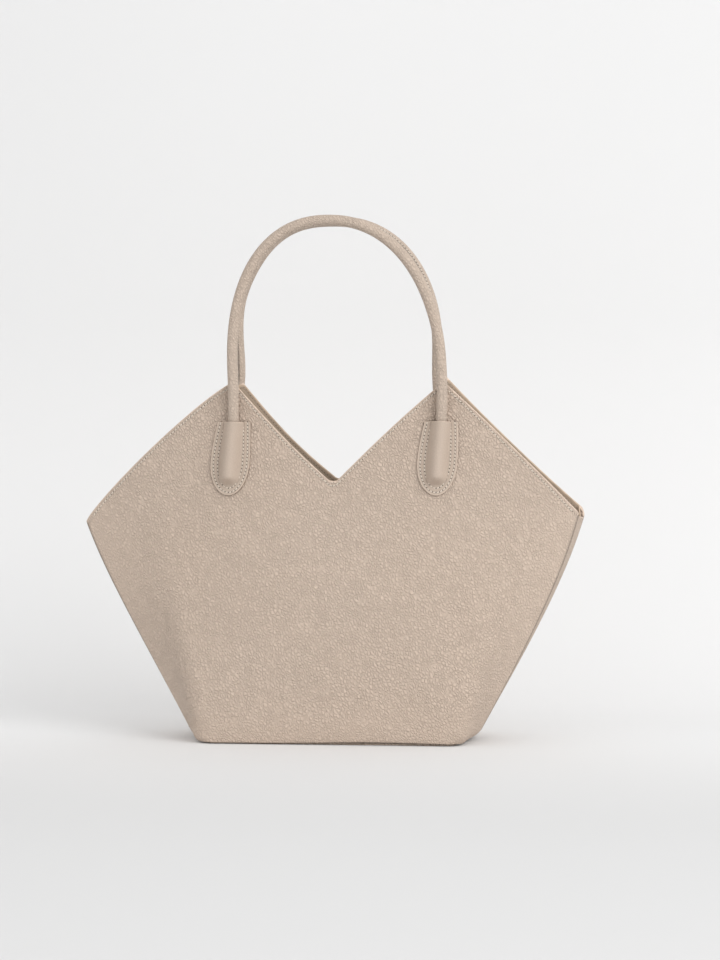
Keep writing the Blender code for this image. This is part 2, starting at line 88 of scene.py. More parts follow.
# A point with the direction that it faces, and a line of such points.
Aimed = tuple[Vector, Vector]
Line = Sequence[Aimed]
Material = bpy.types.Material
Node = bpy.types.Node
Piece = bpy.types.Object
Socket = bpy.types.NodeSocket
Look = tuple[Socket, Socket, Socket]

FLOAT = "NodeSocketFloat"
VECTOR = "NodeSocketVector"
COLOUR = "NodeSocketColor"
GEOMETRY = "NodeSocketGeometry"
MATERIAL = "NodeSocketMaterial"
KINDS = {"VALUE": FLOAT, "RGBA": COLOUR, "GEOMETRY": GEOMETRY}

BAG = "bag"


class Place(Enum):
    """Part of the bag that the frame's nodes name."""

    @property
    def label(self) -> str:
        """Name as the frame's nodes have it."""
        return self.name.lower()


class Side(Place):
    """Side of the bag, with the sign of its Y."""

    FRONT = -1
    BACK = 1


class End(Place):
    """End of the bag, with the sign of its X."""

    LEFT = -1
    RIGHT = 1


class Slot(Enum):
    """Material slots of the part."""

    LEATHER = "leather"
    LINING = "lining"
    PATCH = "patch"
    CORD = "cord"


# Small helpers


def lerp(a: float, b: float, share: float) -> float:
    """Value between a and b."""
    return a + (b - a) * share


def clamp(share: float) -> float:
    """Share held between 0 and 1."""
    return max(0.0, min(1.0, share))


def smooth(share: float) -> float:
    """Smooth step from 0 to 1."""
    share = clamp(share)
    return share * share * (3 - 2 * share)


def eased(step: int, count: int) -> float:
    """Share of a step, with the steps closer together at both ends."""
    return (1 - cos(pi * step / count)) / 2


def hump(value: float, centre: float, width: float) -> float:
    """Bell curve of height 1."""
    return exp(-(((value - centre) / width) ** 2))


def srgb(*values: int) -> Colour:
    """Linear colour from red, green and blue of 0 to 255."""
    shares = [value / 255 for value in values]
    return tuple(s / 12.92 if s <= 0.04045 else ((s + 0.055) / 1.055) ** 2.4 for s in shares)


def run_lengths(points: Sequence[Vector]) -> list[float]:
    """Length of a line from its first point to each of its points."""
    steps = [(after - before).length for before, after in zip(points, points[1:])]
    return list(accumulate(steps, initial=0.0))


# Node trees


class Nodes:
    """Adds the nodes of one tree and links them."""

    mix_inputs = (0, 6, 7)
    mix_result = 2

    def __init__(self, tree: bpy.types.NodeTree) -> None:
        """Starts on a tree."""
        self.tree = tree

    def feed(self, node: Node, key: str | int, value: object) -> None:
        """Links a socket to an input of a node, or sets the input's value.

        Args:
            node: The node.
            key: Name or number of the input.
            value: A socket or a plain value, where a colour has three parts.
        """
        socket = node.inputs[key]
        if isinstance(value, Socket):
            self.tree.links.new(value, socket)
        else:
            socket.default_value = (*value, 1.0) if socket.type == "RGBA" else value

    def add(self, kind: str, inputs: dict | None = None, **settings: object) -> Node:
        """Adds a node.

        Args:
            kind: The node's type name.
            inputs: Values or sockets by the name or the number of the input.
            settings: Properties of the node.

        Returns:
            The node.
        """
        node = self.tree.nodes.new(kind)
        for name, value in settings.items():
            setattr(node, name, value)
        for key, value in (inputs or {}).items():
            self.feed(node, key, value)
        return node

    def out(self, kind: str, output: str | int, inputs: dict | None = None,
            **settings: object) -> Socket:
        """Adds a node and gives one of its outputs."""
        return self.add(kind, inputs, **settings).outputs[output]

    def math(self, operation: str, *values: object) -> Socket:
        """Result of a Math node on up to three values."""
        return self.out("ShaderNodeMath", 0, dict(enumerate(values)), operation=operation)

    def times(self, first: object, second: object) -> Socket:
        """Product of two values."""
        return self.math("MULTIPLY", first, second)

    def line(self, value: object, slope: object, start: object) -> Socket:
        """Start plus slope times a value."""
        return self.math("MULTIPLY_ADD", value, slope, start)

    def vector(self, operation: str, *values: object) -> Socket:
        """Vector result of a Vector Math node."""
        return self.out("ShaderNodeVectorMath", 0, dict(enumerate(values)), operation=operation)

    def scaled(self, vector: Socket, factor: object) -> Socket:
        """A vector times a value."""
        inputs = {0: vector, "Scale": factor}
        return self.out("ShaderNodeVectorMath", 0, inputs, operation="SCALE")

    def xyz(self, **parts: object) -> Socket:
        """Vector of the parts X, Y and Z."""
        return self.out("ShaderNodeCombineXYZ", 0, parts)

    def parts(self, vector: Socket) -> bpy.types.NodeOutputs:
        """Parts X, Y and Z of a vector."""
        return self.add("ShaderNodeSeparateXYZ", {0: vector}).outputs

    def ramp(self, value: object, start: object, end: object, low: object = 0.0,
             high: object = 1.0) -> Socket:
        """Smooth change from low to high as a value goes from start to end."""
        ends = {"From Min": start, "From Max": end, "To Min": low, "To Max": high}
        return self.out("ShaderNodeMapRange", "Result", {"Value": value, **ends},
                        interpolation_type="SMOOTHSTEP")

    def bell(self, value: object, centre: object, width: object) -> Socket:
        """Bell curve of height 1 round a centre."""
        away = self.math("DIVIDE", self.math("SUBTRACT", value, centre), width)
        return self.math("EXPONENT", self.times(self.times(away, away), -1.0))

    def noise(self, vector: Socket, scale: object, detail: float, output: str = "Fac",
              distortion: float = 0.0) -> Socket:
        """Noise, as a value or as a colour."""
        return self.out("ShaderNodeTexNoise", output, {
            "Vector": vector, "Scale": scale, "Detail": detail, "Distortion": distortion})

    def cells(self, vector: Socket, scale: Socket, randomness: float) -> Socket:
        """Distance from the edge between many cells."""
        inputs = {"Vector": vector, "Scale": scale, "Randomness": randomness}
        return self.out("ShaderNodeTexVoronoi", "Distance", inputs, feature="DISTANCE_TO_EDGE")

    def blend(self, share: object, first: object, second: object) -> Socket:
        """Colour between two colours."""
        inputs = dict(zip(self.mix_inputs, (share, first, second)))
        return self.out("ShaderNodeMix", self.mix_result, inputs, data_type="RGBA")

    def mark(self, name: str) -> Socket:
        """Value of a named mark of the mesh."""
        return self.out("ShaderNodeAttribute", "Fac", attribute_name=name)

    def place(self) -> Socket:
        """Place on the piece, in metres."""
        return self.out("ShaderNodeTexCoord", "Object")

    def use(self, group: NodeGroup, **inputs: object) -> bpy.types.NodeOutputs:
        """Outputs of a group placed in the tree, underscores standing for spaces in its inputs."""
        named = {key.replace("_", " "): value for key, value in inputs.items()}
        return self.add("ShaderNodeGroup", named, node_tree=group.tree).outputs

    def store(self, geometry: Socket, name: str, value: object) -> Socket:
        """Geometry with a named mark on its points."""
        inputs = {"Geometry": geometry, "Name": name, "Value": value}
        return self.out("GeometryNodeStoreNamedAttribute", "Geometry", inputs,
                        data_type="FLOAT", domain="POINT")


class NodeGroup:
    """A node group with named inputs and outputs."""

    def __init__(self, name: str, inputs: dict[str, str | float],
                 kind: str = "ShaderNodeTree") -> None:
        """Makes the group and its inputs.

        Args:
            name: Name of the group.
            inputs: Socket type, or default value of a number, by name.
            kind: Type of the node tree.
        """
        self.tree = bpy.data.node_groups.new(name, kind)
        self.identifiers: dict[str, str] = {}
        for label, default in inputs.items():
            is_type = isinstance(default, str)
            socket = self.tree.interface.new_socket(
                label, in_out="INPUT", socket_type=default if is_type else FLOAT)
            if not is_type:
                socket.default_value = default
            self.identifiers[label] = socket.identifier
        self.nodes = Nodes(self.tree)
        self.inputs = self.tree.nodes.new("NodeGroupInput").outputs

    def close(self, **results: Socket) -> NodeGroup:
        """Gives the group its outputs.

        Args:
            results: The socket of each output.

        Returns:
            The group.
        """
        for label, socket in results.items():
            self.tree.interface.new_socket(label, in_out="OUTPUT",
                                           socket_type=KINDS[socket.type])
        self.nodes.add("NodeGroupOutput", results)
        return self


def pebble_grain() -> NodeGroup:
    """Pebbled grain: round cells with fine creases between them, drawn out along the hide.

    Returns:
        The group.
    """
    group = NodeGroup("pebble_grain", {"Vector": VECTOR, "Cell Size": 0.0023, "Draw": 0.7,
                                       "Turn": 0.6})
    nodes, source = group.nodes, group.inputs
    density = nodes.math("DIVIDE", 1.0, source["Cell Size"])
    # The cells wander over about six cells, by up to 0.8 of a cell either way.
    wander = nodes.noise(source["Vector"], nodes.times(density, 0.16), 2.0, "Color")
    shift = nodes.scaled(nodes.vector("SUBTRACT", wander, (0.5, 0.5, 0.5)),
                         nodes.times(source["Cell Size"], 1.6))
    turned = nodes.out("ShaderNodeVectorRotate", "Vector", {
        "Vector": nodes.vector("ADD", source["Vector"], shift), "Angle": source["Turn"]},
        rotation_type="Y_AXIS")
    laid = nodes.vector("MULTIPLY", turned, nodes.xyz(X=1.0, Y=1.0, Z=source["Draw"]))
    pebbles = nodes.cells(laid, density, 0.85)
    crease, dome = nodes.ramp(pebbles, 0.18, 0.0), nodes.ramp(pebbles, 0.0, 0.5)
    wrinkle = nodes.ramp(nodes.cells(laid, nodes.times(density, 2.2), 1.0), 0.0, 0.22)
    pores = nodes.noise(laid, nodes.times(density, 3.1), 3.0)
    height = nodes.line(dome, 0.35, nodes.line(wrinkle, 0.16, nodes.times(pores, 0.3)))
    return group.close(Height=nodes.line(crease, -0.45, height), Crease=crease)


def colour_drift() -> NodeGroup:
    """Slow change of a colour's lightness and tint over a surface.

    Returns:
        The group.
    """
    group = NodeGroup("colour_drift", {"Colour": COLOUR, "Vector": VECTOR, "Patch Size": 0.06,
                                       "Amount": 0.03})
    nodes, source = group.nodes, group.inputs
    scale = nodes.math("DIVIDE", 1.0, source["Patch Size"])
    broad = nodes.noise(source["Vector"], scale, 4.0)
    broader = nodes.noise(source["Vector"], nodes.times(scale, 0.4), 1.0)
    value, richness = (
        nodes.line(nodes.math("SUBTRACT", noise, 0.5), nodes.times(source["Amount"], reach), 1.0)
        for noise, reach in ((broad, 2.0), (broader, 3.0)))
    return group.close(Colour=nodes.out("ShaderNodeHueSaturation", "Color", {
        "Color": source["Colour"], "Value": value, "Saturation": richness}))


def seam_pull() -> NodeGroup:
    """Groove that a row of stitches pulls into a sheet, with a mask that the finishes use for
    painted shade in it.
    """
    group = NodeGroup("seam_pull", {"Distance": 1.0, "Row": 0.003, "Width": 0.0011,
                                    "Depth": 0.0003})
    nodes, source = group.nodes, group.inputs
    groove = nodes.bell(source["Distance"], source["Row"], source["Width"])
    return group.close(Height=nodes.times(nodes.times(groove, source["Depth"]), -1.0),
                       Shade=groove)


def edge_wear() -> NodeGroup:
    """Mask of the smoother stretch along an edge, broken up by handling; the finishes paint it
    paler, as wear and as a painted highlight where the turned edge catches the light.
    """
    group = NodeGroup("edge_wear", {"Distance": 1.0, "Vector": VECTOR, "Width": 0.0012})
    nodes, source = group.nodes, group.inputs
    near = nodes.ramp(source["Distance"], source["Width"], 0.0)
    rubbed = nodes.noise(source["Vector"], 90.0, 3.0)
    return group.close(Wear=nodes.times(near, nodes.ramp(rubbed, 0.3, 0.62, 0.55, 1.0)))


def plain_weave() -> NodeGroup:
    """Plain weave of two threads, from a map in metres.

    Returns:
        The group.
    """
    group = NodeGroup("plain_weave", {"Vector": VECTOR, "Thread": 0.0006})
    nodes, source = group.nodes, group.inputs
    wobble = nodes.noise(source["Vector"], 220.0, 1.0, "Color")
    slip = nodes.vector("MULTIPLY", nodes.vector("SUBTRACT", wobble, (0.5, 0.5, 0.5)),
                        (0.00025, 0.00025, 0.0))
    count = nodes.parts(nodes.scaled(nodes.vector("ADD", source["Vector"], slip),
                                     nodes.math("DIVIDE", 1.0, source["Thread"])))
    warp, weft = (nodes.math("ABSOLUTE", nodes.math("SINE", nodes.times(count[axis], pi)))
                  for axis in "XY")
    crossing = nodes.math("ADD", nodes.math("FLOOR", count["X"]), nodes.math("FLOOR", count["Y"]))
    over = nodes.math("PINGPONG", crossing, 1.0)
    height = nodes.math("MAXIMUM", nodes.times(warp, nodes.line(over, 0.5, 0.5)),
                        nodes.times(weft, nodes.line(over, -0.5, 1.0)))
    return group.close(Height=height, Gap=nodes.ramp(height, 0.45, 0.1))


def brushed_lines() -> NodeGroup:
    """Fine turned lines round an upright axis, as polished metal keeps them."""
    group = NodeGroup("brushed_lines", {"Vector": VECTOR, "Line": 0.00012})
    nodes, source = group.nodes, group.inputs
    squeezed = nodes.vector("MULTIPLY", source["Vector"], (0.05, 0.05, 1.0))
    lines = nodes.noise(squeezed, nodes.math("DIVIDE", 1.0, source["Line"]), 2.0)
    return group.close(Height=lines, Tone=nodes.noise(source["Vector"], 160.0, 3.0))


class Effects:
    """The node groups that the finishes share, each built once."""

    def __init__(self) -> None:
        """Builds the groups."""
        self.grain = pebble_grain()
        self.drift = colour_drift()
        self.pull = seam_pull()
        self.wear = edge_wear()
        self.weave = plain_weave()
        self.brushed = brushed_lines()


def principled(name: str, constants: dict[str, float]) -> tuple[Material, Nodes, Node]:
    """Starts a material with a Principled shader.

    Args:
        name: Name of the material.
        constants: Values of the shader's inputs.

    Returns:
        The material, its nodes and the shader.
    """
    material = bpy.data.materials.new(name)
    material.use_nodes = True
    shader = next(node for node in material.node_tree.nodes if node.type == "BSDF_PRINCIPLED")
    for label, value in constants.items():
        shader.inputs[label].default_value = value
    return material, Nodes(material.node_tree), shader


# Finishes


@dataclass(frozen=True)
class Finish:
    """A material in one main colour.

    Attributes:
        name: Name of the material.
        colour: Its main colour.
        constants: Plain values of the shader's inputs.
    """

    name: str
    colour: Colour
    constants: ClassVar[dict[str, float]] = {}

    def tint(self, factor: float) -> Colour:
        """The colour made darker or paler."""
        return tuple(min(1.0, value * factor) for value in self.colour)

    def drifted(self, nodes: Nodes, effects: Effects, patch: float, amount: float) -> Socket:
        """The colour with slow changes over patches of a size."""
        return nodes.use(effects.drift, Colour=self.colour, Vector=nodes.place(),
                         Patch_Size=patch, Amount=amount)["Colour"]

    def surface(self, nodes: Nodes, effects: Effects) -> Look:
        """Colour, roughness and height over the surface.

        Args:
            nodes: Nodes of the material.
            effects: The shared node groups.

        Returns:
            The three sockets.
        """
        raise NotImplementedError

    def material(self, effects: Effects) -> Material:
        """Builds the material.

        Args:
            effects: The shared node groups.

        Returns:
            The material.
        """
        material, nodes, shader = principled(self.name, self.constants)
        colour, roughness, height = self.surface(nodes, effects)
        normal = nodes.out("ShaderNodeBump", "Normal", {"Strength": 1.0, "Distance": 1.0,
                                                        "Height": height})
        for label, value in (("Base Color", colour), ("Roughness", roughness),
                             ("Normal", normal)):
            nodes.feed(shader, label, value)
        return material


@dataclass(frozen=True)
class SeamMark:
    """A row of stitches in a finish: its distance from the edge and its groove."""

    row: float
    width: float = 0.0011
    depth: float = 0.0003


@dataclass(frozen=True)
class LeatherFinish(Finish):
    """Pebbled leather, dyed through, with grain, tint changes, grooves at seams and worn edges that
    also carry a painted highlight.

    Attributes:
        crease: How dark the creases are painted, as painted shade.
        draw: How far the pebbles are drawn out.
        seams: Rows of stitches.
        rim: How much paler the edge is painted, for wear and as a painted highlight.
        joint_width: Width of the painted shade line where two pieces meet.
        joint_shade: How dark that line is.
        flank_shade: How much darker the leather is painted near that line, as shade on the flank
            turned from the lamp, and how much calmer its grain is.
    """

    colour: Colour = srgb(218, 198, 181)
    cell_size: float = 0.0024
    relief: float = 0.0015
    crease: float = 0.24
    draw: float = 0.62
    roughness: float = 0.58
    seams: tuple[SeamMark, ...] = ()
    rim: float = 1.22
    rim_width: float = 0.0012
    joint_width: float = 0.0010
    joint_shade: float = 0.7
    flank_shade: float = 0.0
    flank_width: float = 0.05
    constants = {"Specular IOR Level": 0.22}

    def surface(self, nodes: Nodes, effects: Effects) -> Look:
        """Colour, roughness and height over the surface.

        Args:
            nodes: Nodes of the material.
            effects: The shared node groups.

        Returns:
            The three sockets.
        """
        joint, place = nodes.mark("joint"), nodes.place()
        grain = nodes.use(effects.grain, Vector=place, Cell_Size=self.cell_size, Draw=self.draw)
        wear = nodes.use(effects.wear, Distance=nodes.mark("edge"), Vector=place,
                         Width=self.rim_width)["Wear"]
        shade_tone, dark = self.tint(0.72), self.tint(0.24)
        # Painted shade: the creases of the grain are painted darker.
        colour = nodes.blend(nodes.times(grain["Crease"], self.crease),
                             self.drifted(nodes, effects, 0.055, 0.02), shade_tone)
        # Edges are painted paler: partly wear, partly a painted highlight where the turned edge
        # catches the light.
        colour = nodes.blend(nodes.times(wear, 0.8), colour, self.tint(self.rim))
        # Painted shade: a dark line along the seams where two pieces meet.
        meeting = nodes.bell(joint, 0.0, self.joint_width)
        colour = nodes.blend(nodes.times(meeting, self.joint_shade), colour, dark)
        # Painted shade: the leather is painted darker towards the flanks, which turn away from the
        # lamp.
        flank = nodes.ramp(joint, 0.0, self.flank_width, self.flank_shade, 0.0)
        colour = nodes.blend(flank, colour, shade_tone)
        calm = nodes.times(nodes.line(wear, -0.75, 1.0), nodes.line(flank, -1.6, 1.0))
        height = nodes.times(nodes.times(grain["Height"], self.relief), calm)
        for seam in self.seams:
            pull = nodes.use(effects.pull, Distance=nodes.mark("seam_distance"), Row=seam.row,
                             Width=seam.width, Depth=seam.depth)
            height = nodes.math("ADD", height, pull["Height"])
            # Painted shade: the colour is darkened in the stitch groove.
            colour = nodes.blend(nodes.times(pull["Shade"], 0.16), colour, dark)
        roughness = nodes.line(wear, -0.1, nodes.line(grain["Crease"], 0.14, self.roughness))
        return colour, roughness, height


@dataclass(frozen=True)
class ClothFinish(Finish):
    """Woven cloth from a map in metres."""

    thread: float = 0.0006
    relief: float = 0.00009
    roughness: float = 0.82
    constants = {"Specular IOR Level": 0.2, "Sheen Weight": 0.2, "Sheen Roughness": 0.4}

    def surface(self, nodes: Nodes, effects: Effects) -> Look:
        """Colour, roughness and height over the surface."""
        flat = nodes.out("ShaderNodeUVMap", "UV", uv_map="cloth")
        weave = nodes.use(effects.weave, Vector=flat, Thread=self.thread)
        # Painted shade: darker in the gaps of the weave.
        colour = nodes.blend(nodes.times(weave["Gap"], 0.7),
                             self.drifted(nodes, effects, 0.03, 0.05), self.tint(0.55))
        return (colour, nodes.line(weave["Gap"], 0.1, self.roughness),
                nodes.times(weave["Height"], self.relief))


@dataclass(frozen=True)
class ThreadFinish(Finish):
    """Twisted thread, painted darker as shade where it dives into the leather and between its
    strands.
    """

    colour: Colour = srgb(232, 221, 207)
    hole_colour: Colour = srgb(52, 40, 32)
    twist: float = 7.0
    relief: float = 0.00005
    constants = {"Specular IOR Level": 0.35}

    def surface(self, nodes: Nodes, effects: Effects) -> Look:
        """Colour, roughness and height over the surface.

        Args:
            nodes: Nodes of the material.
            effects: The shared node groups.

        Returns:
            The three sockets.
        """
        along = nodes.mark("stitch_share")
        turn = nodes.times(along, self.twist * 2 * pi)
        strand = nodes.line(nodes.math("SINE", turn), 0.5, 0.5)
        # Painted shade: darker towards both ends, where the thread dives in, and in the grooves of
        # the twist.
        sunk = nodes.ramp(nodes.math("ABSOLUTE", nodes.line(along, 2.0, -1.0)), 0.72, 1.0)
        shade = nodes.line(strand, -0.12, nodes.line(sunk, 0.85, 0.12))
        colour = nodes.blend(shade, self.drifted(nodes, effects, 0.004, 0.06), self.tint(0.34))
        # Painted shade: the needle hole marks take a near black colour.
        colour = nodes.blend(nodes.mark("needle_hole_shade"), colour, self.hole_colour)
        return colour, nodes.line(strand, -0.1, 0.6), nodes.times(strand, self.relief)


@dataclass(frozen=True)
class MetalFinish(Finish):
    """Nickel plate with turned lines."""

    colour: Colour = srgb(196, 192, 184)
    relief: float = 0.00001
    constants = {"Metallic": 1.0}

    def surface(self, nodes: Nodes, effects: Effects) -> Look:
        """Colour, roughness and height over the surface."""
        lines = nodes.use(effects.brushed, Vector=nodes.place())
        return (self.drifted(nodes, effects, 0.004, 0.05), nodes.line(lines["Tone"], 0.16, 0.24),
                nodes.times(lines["Height"], self.relief))


@dataclass(frozen=True)
class BoardFinish(Finish):
    """Grey fibre board with short fibres in its face."""

    colour: Colour = srgb(128, 118, 106)
    relief: float = 0.00005
    constants = {"Specular IOR Level": 0.25}

    def surface(self, nodes: Nodes, effects: Effects) -> Look:
        """Colour, roughness and height over the surface."""
        fibres = nodes.noise(nodes.place(), 900.0, 4.0, distortion=1.2)
        colour = nodes.blend(nodes.ramp(fibres, 0.45, 0.7),
                             self.drifted(nodes, effects, 0.01, 0.08), self.tint(0.7))
        return colour, nodes.line(fibres, 0.2, 0.7), nodes.times(fibres, self.relief)


@dataclass(frozen=True)
class CordFinish(Finish):
    """Laid cotton cord of strands twisted round each other."""

    colour: Colour = srgb(224, 217, 203)
    lay: float = 0.011
    strands: int = 3
    relief: float = 0.0005
    constants = {"Specular IOR Level": 0.2}

    def surface(self, nodes: Nodes, effects: Effects) -> Look:
        """Colour, roughness and height over the surface.

        Args:
            nodes: Nodes of the material.
            effects: The shared node groups.

        Returns:
            The three sockets.
        """
        turns = nodes.math("DIVIDE", nodes.mark("along"), self.lay)
        turn = nodes.math("ADD", turns, nodes.mark("around"))
        twist = nodes.math("SINE", nodes.times(turn, self.strands * 2 * pi))
        strand = nodes.math("POWER", nodes.line(twist, 0.5, 0.5), 0.5)
        # Painted shade: darker in the grooves between the strands.
        shade = nodes.line(strand, -0.7, 0.7)
        colour = nodes.blend(shade, self.drifted(nodes, effects, 0.01, 0.06), self.tint(0.5))
        return colour, nodes.line(shade, 0.1, 0.82), nodes.times(strand, self.relief)


class Finishes:
    """All finishes of the bag, built once."""

    def __init__(self, effects: Effects) -> None:
        """Builds each material.

        Args:
            effects: The shared node groups.
        """
        top_seam = (SeamMark(TopStitch.inset),)
        tab_seams = tuple(SeamMark(inset, 0.0009, 0.00035) for inset in TabShape.insets)
        handle_seam = (SeamMark(RolledHandle.stitch_inset, 0.0009),)
        # The panels are painted darker towards their flanks, as shade.
        self.panel = LeatherFinish("pebbled_leather", seams=top_seam,
                                   flank_shade=0.2).material(effects)
        self.side = LeatherFinish("pebbled_leather_side").material(effects)
        self.base = LeatherFinish("pebbled_leather_base", roughness=0.66,
                                  joint_shade=0.25).material(effects)
        # The facings are painted darker than the panels' leather, as the shade inside the bag, and
        # paler along their top edge, as painted light where light reaches in.
        self.facing = LeatherFinish(
            "facing_leather", srgb(165, 147, 129), cell_size=0.0017, relief=0.00009,
            seams=top_seam, rim=1.8, rim_width=0.0066).material(effects)
        self.tab = LeatherFinish(
            "tab_leather", srgb(193, 176, 161), cell_size=0.0017, relief=0.0002, crease=0.2,
            roughness=0.5, seams=tab_seams, rim=1.3, rim_width=0.0011).material(effects)
        self.handle = LeatherFinish(
            "handle_leather", srgb(209, 191, 175), cell_size=0.0021, relief=0.0010, crease=0.3,
            draw=0.5, roughness=0.5, seams=handle_seam).material(effects)
        self.cut_edge = LeatherFinish(
            "painted_cut_edge", srgb(126, 104, 86), cell_size=0.0012, relief=0.00005,
            crease=0.1, rim=1.0).material(effects)
        self.lining = ClothFinish("lining_cloth", srgb(192, 178, 160)).material(effects)
        self.patch = ClothFinish("patch_cloth", srgb(214, 208, 196),
                                 thread=0.0004).material(effects)
        self.thread = ThreadFinish("stitching_thread").material(effects)
        self.inner_thread = ThreadFinish("bobbin_thread", srgb(176, 160, 143)).material(effects)
        self.metal = MetalFinish("nickel_plate").material(effects)
        self.board = BoardFinish("fibre_board").material(effects)
        self.cord = CordFinish("laid_cord").material(effects)


# Meshes


@dataclass
class Sheet:
    """Rows of points on a soft sheet, with the marks that its finish reads.

    Attributes:
        rows: Points from the bottom row to the top row, each from left to right.
        marks: Named values for each point.
    """

    rows: list[list[Vector]]
    marks: dict[str, list[list[float]]] = field(default_factory=dict)

    @classmethod
    def marked(cls, rows: Sequence[Sequence[tuple]], *labels: str) -> Sheet:
        """Sheet of points that each come with their marks.

        Args:
            rows: Rows of points, each point in a tuple with its marks behind it.
            labels: Names of the marks.

        Returns:
            The sheet.
        """
        points, *marks = ([[item[k] for item in row] for row in rows]
                          for k in range(len(labels) + 1))
        return cls(points, dict(zip(labels, marks)))

    def size(self) -> tuple[float, float]:
        """Greatest width and greatest length of the sheet, laid flat."""
        return (max(run_lengths(row)[-1] for row in self.rows),
                max(run_lengths(column)[-1] for column in zip(*self.rows)))

    def area(self) -> float:
        """Area of one face of the sheet."""
        return sum(((b - a).cross(c - a).length + (c - a).cross(d - a).length) / 2
                   for lower, upper in zip(self.rows, self.rows[1:])
                   for a, b, c, d in zip(lower, lower[1:], upper[1:], upper))

    def mesh(self, name: str, finish: Material, flip: bool = False) -> bpy.types.Mesh:
        """Open mesh of the sheet, with a map in metres named cloth.

        Args:
            name: Name of the mesh.
            finish: Its material.
            flip: Turns the faces round.

        Returns:
            The mesh.
        """
        count = len(self.rows[0])
        corners = [a for a in range((len(self.rows) - 1) * count) if (a + 1) % count]
        quads = [(a, a + 1, a + count + 1, a + count)[::-1 if flip else 1] for a in corners]
        mesh = bpy.data.meshes.new(name)
        mesh.from_pydata([tuple(point) for row in self.rows for point in row], [], quads)
        across = [run_lengths(row) for row in self.rows]
        upward = [run_lengths(column) for column in zip(*self.rows)]
        layer = mesh.uv_layers.new(name="cloth")
        for loop in mesh.loops:
            i, j = divmod(loop.vertex_index, count)
            layer.data[loop.index].uv = (across[i][j] - across[i][-1] / 2, upward[j][i])
        for label, rows in self.marks.items():
            mark_points(mesh, label, [value for row in rows for value in row])
        mesh.materials.append(finish)
        return mesh


def mark_points(mesh: bpy.types.Mesh, label: str, values: Sequence[float]) -> None:
    """Gives the points of a mesh a named mark."""
    mesh.attributes.new(label, "FLOAT", "POINT").data.foreach_set("value", values)


def add_object(name: str, mesh: bpy.types.Mesh) -> Piece:
    """Object at the origin that holds a mesh."""
    piece = bpy.data.objects.new(name, mesh)
    bpy.context.scene.collection.objects.link(piece)
    return piece


def settle(piece: Piece) -> Piece:
    """Turns a piece and its modifiers into one plain mesh.

    Args:
        piece: The piece with its modifiers.

    Returns:
        The same piece, with the result as its own mesh.
    """
    graph = bpy.context.evaluated_depsgraph_get()
    mesh = bpy.data.meshes.new_from_object(piece.evaluated_get(graph), depsgraph=graph,
                                           preserve_all_data_layers=True)
    mesh.name = piece.name
    piece.modifiers.clear()
    piece.data = mesh
    mesh.shade_smooth()
    return piece


def shell(name: str, sheet: Sheet, side: Side, thickness: float, finish: Material,
          rounding: float = 0.0, outward: bool = False, rim: Material | None = None) -> Piece:
    """Closed sheet of a given thickness with rounded edges.

    Args:
        name: Name of the piece.
        sheet: Its outer face.
        side: Side of the bag that it faces.
        thickness: Thickness of the sheet.
        finish: Its material.
        rounding: Radius of its edges, or zero for plain ones.
        outward: Grows the thickness to the outside.
        rim: Material of its cut edge, where that differs.

    Returns:
        The piece.
    """
    mesh = sheet.mesh(name, finish, flip=side is Side.BACK)
    if rim:
        mesh.materials.append(rim)
    piece = add_object(name, mesh)
    wall = piece.modifiers.new("Thickness", "SOLIDIFY")
    wall.thickness = thickness
    wall.offset = 1.0 if outward else -1.0
    wall.use_even_offset = True
    wall.material_offset_rim = 1 if rim else 0
    if rounding:
        soft = piece.modifiers.new("Rounding", "BEVEL")
        soft.width = rounding
        soft.segments = 3
        soft.limit_method = "ANGLE"
        soft.angle_limit = radians(50)
        soft.use_clamp_overlap = True
    return settle(piece)


def fit(piece: Piece, slot: Slot, *nodes: str) -> Piece:
    """Lets a piece ride on the bag in the place of the frame's nodes.

    Args:
        piece: The piece.
        slot: Not used.
        nodes: The nodes.

    Returns:
        The piece.
    """
    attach(piece, BAG)
    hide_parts(*nodes)
    return piece


# Form of the bag


@dataclass(frozen=True)
class TopEdge:
    """Upper outline of one side: heights of its corners and how far its stretches bow.

    Attributes:
        corners: Heights of the left tip and peak, the notch, and the right peak and tip.
        bows: Rise of each stretch over its straight line, from left to right.
        tip_shifts: Sideways shift of the left and the right tip.
        tip_falls: How far a round corner lowers the end of the left and of the right tip.
        tip_round: Share across over which a tip is rounded off.
        bow_power: Fullness of the bow of the outer stretches, fuller below 1.
    """

    corners: tuple[float, float, float, float, float]
    bows: tuple[float, float, float, float]
    tip_shifts: tuple[float, float]
    tip_falls: tuple[float, float]
    tip_round: float = 0.014
    bow_power: float = 0.7

    def height(self, share: float, peak: float, flat: float) -> float:
        """Height of the edge.

        Args:
            share: Place across, -1 at the left tip and 1 at the right one.
            peak: Share of the peaks.
            flat: Half share of the flat at the notch.

        Returns:
            The height.
        """
        reach, turn = abs(share), -1 if share < 0 else 1
        notch, top, tip = self.corners[::turn][2:]
        inner_bow, outer_bow = self.bows[::turn][2:]
        if reach <= flat:
            return notch
        if reach <= peak:
            part = (reach - flat) / (peak - flat)
            return lerp(notch, top, part) + inner_bow * sin(pi * part)
        part = (reach - peak) / (1 - peak)
        bow = outer_bow * (4 * part * (1 - part)) ** self.bow_power
        late = clamp((reach - 1) / self.tip_round + 1)
        return lerp(top, tip, part) + bow - self.tip_falls[share > 0] * (1 - sqrt(1 - late ** 2))


@dataclass(frozen=True)
class Dent:
    """A soft swell or hollow in a panel: its middle, its reach and how far it stands out."""

    x: float
    z: float
    width: float
    height: float
    depth: float

    def at(self, x: float, z: float) -> float:
        """How far the swell stands out at a place."""
        return self.depth * hump(x, self.x, self.width) * hump(z, self.z, self.height)


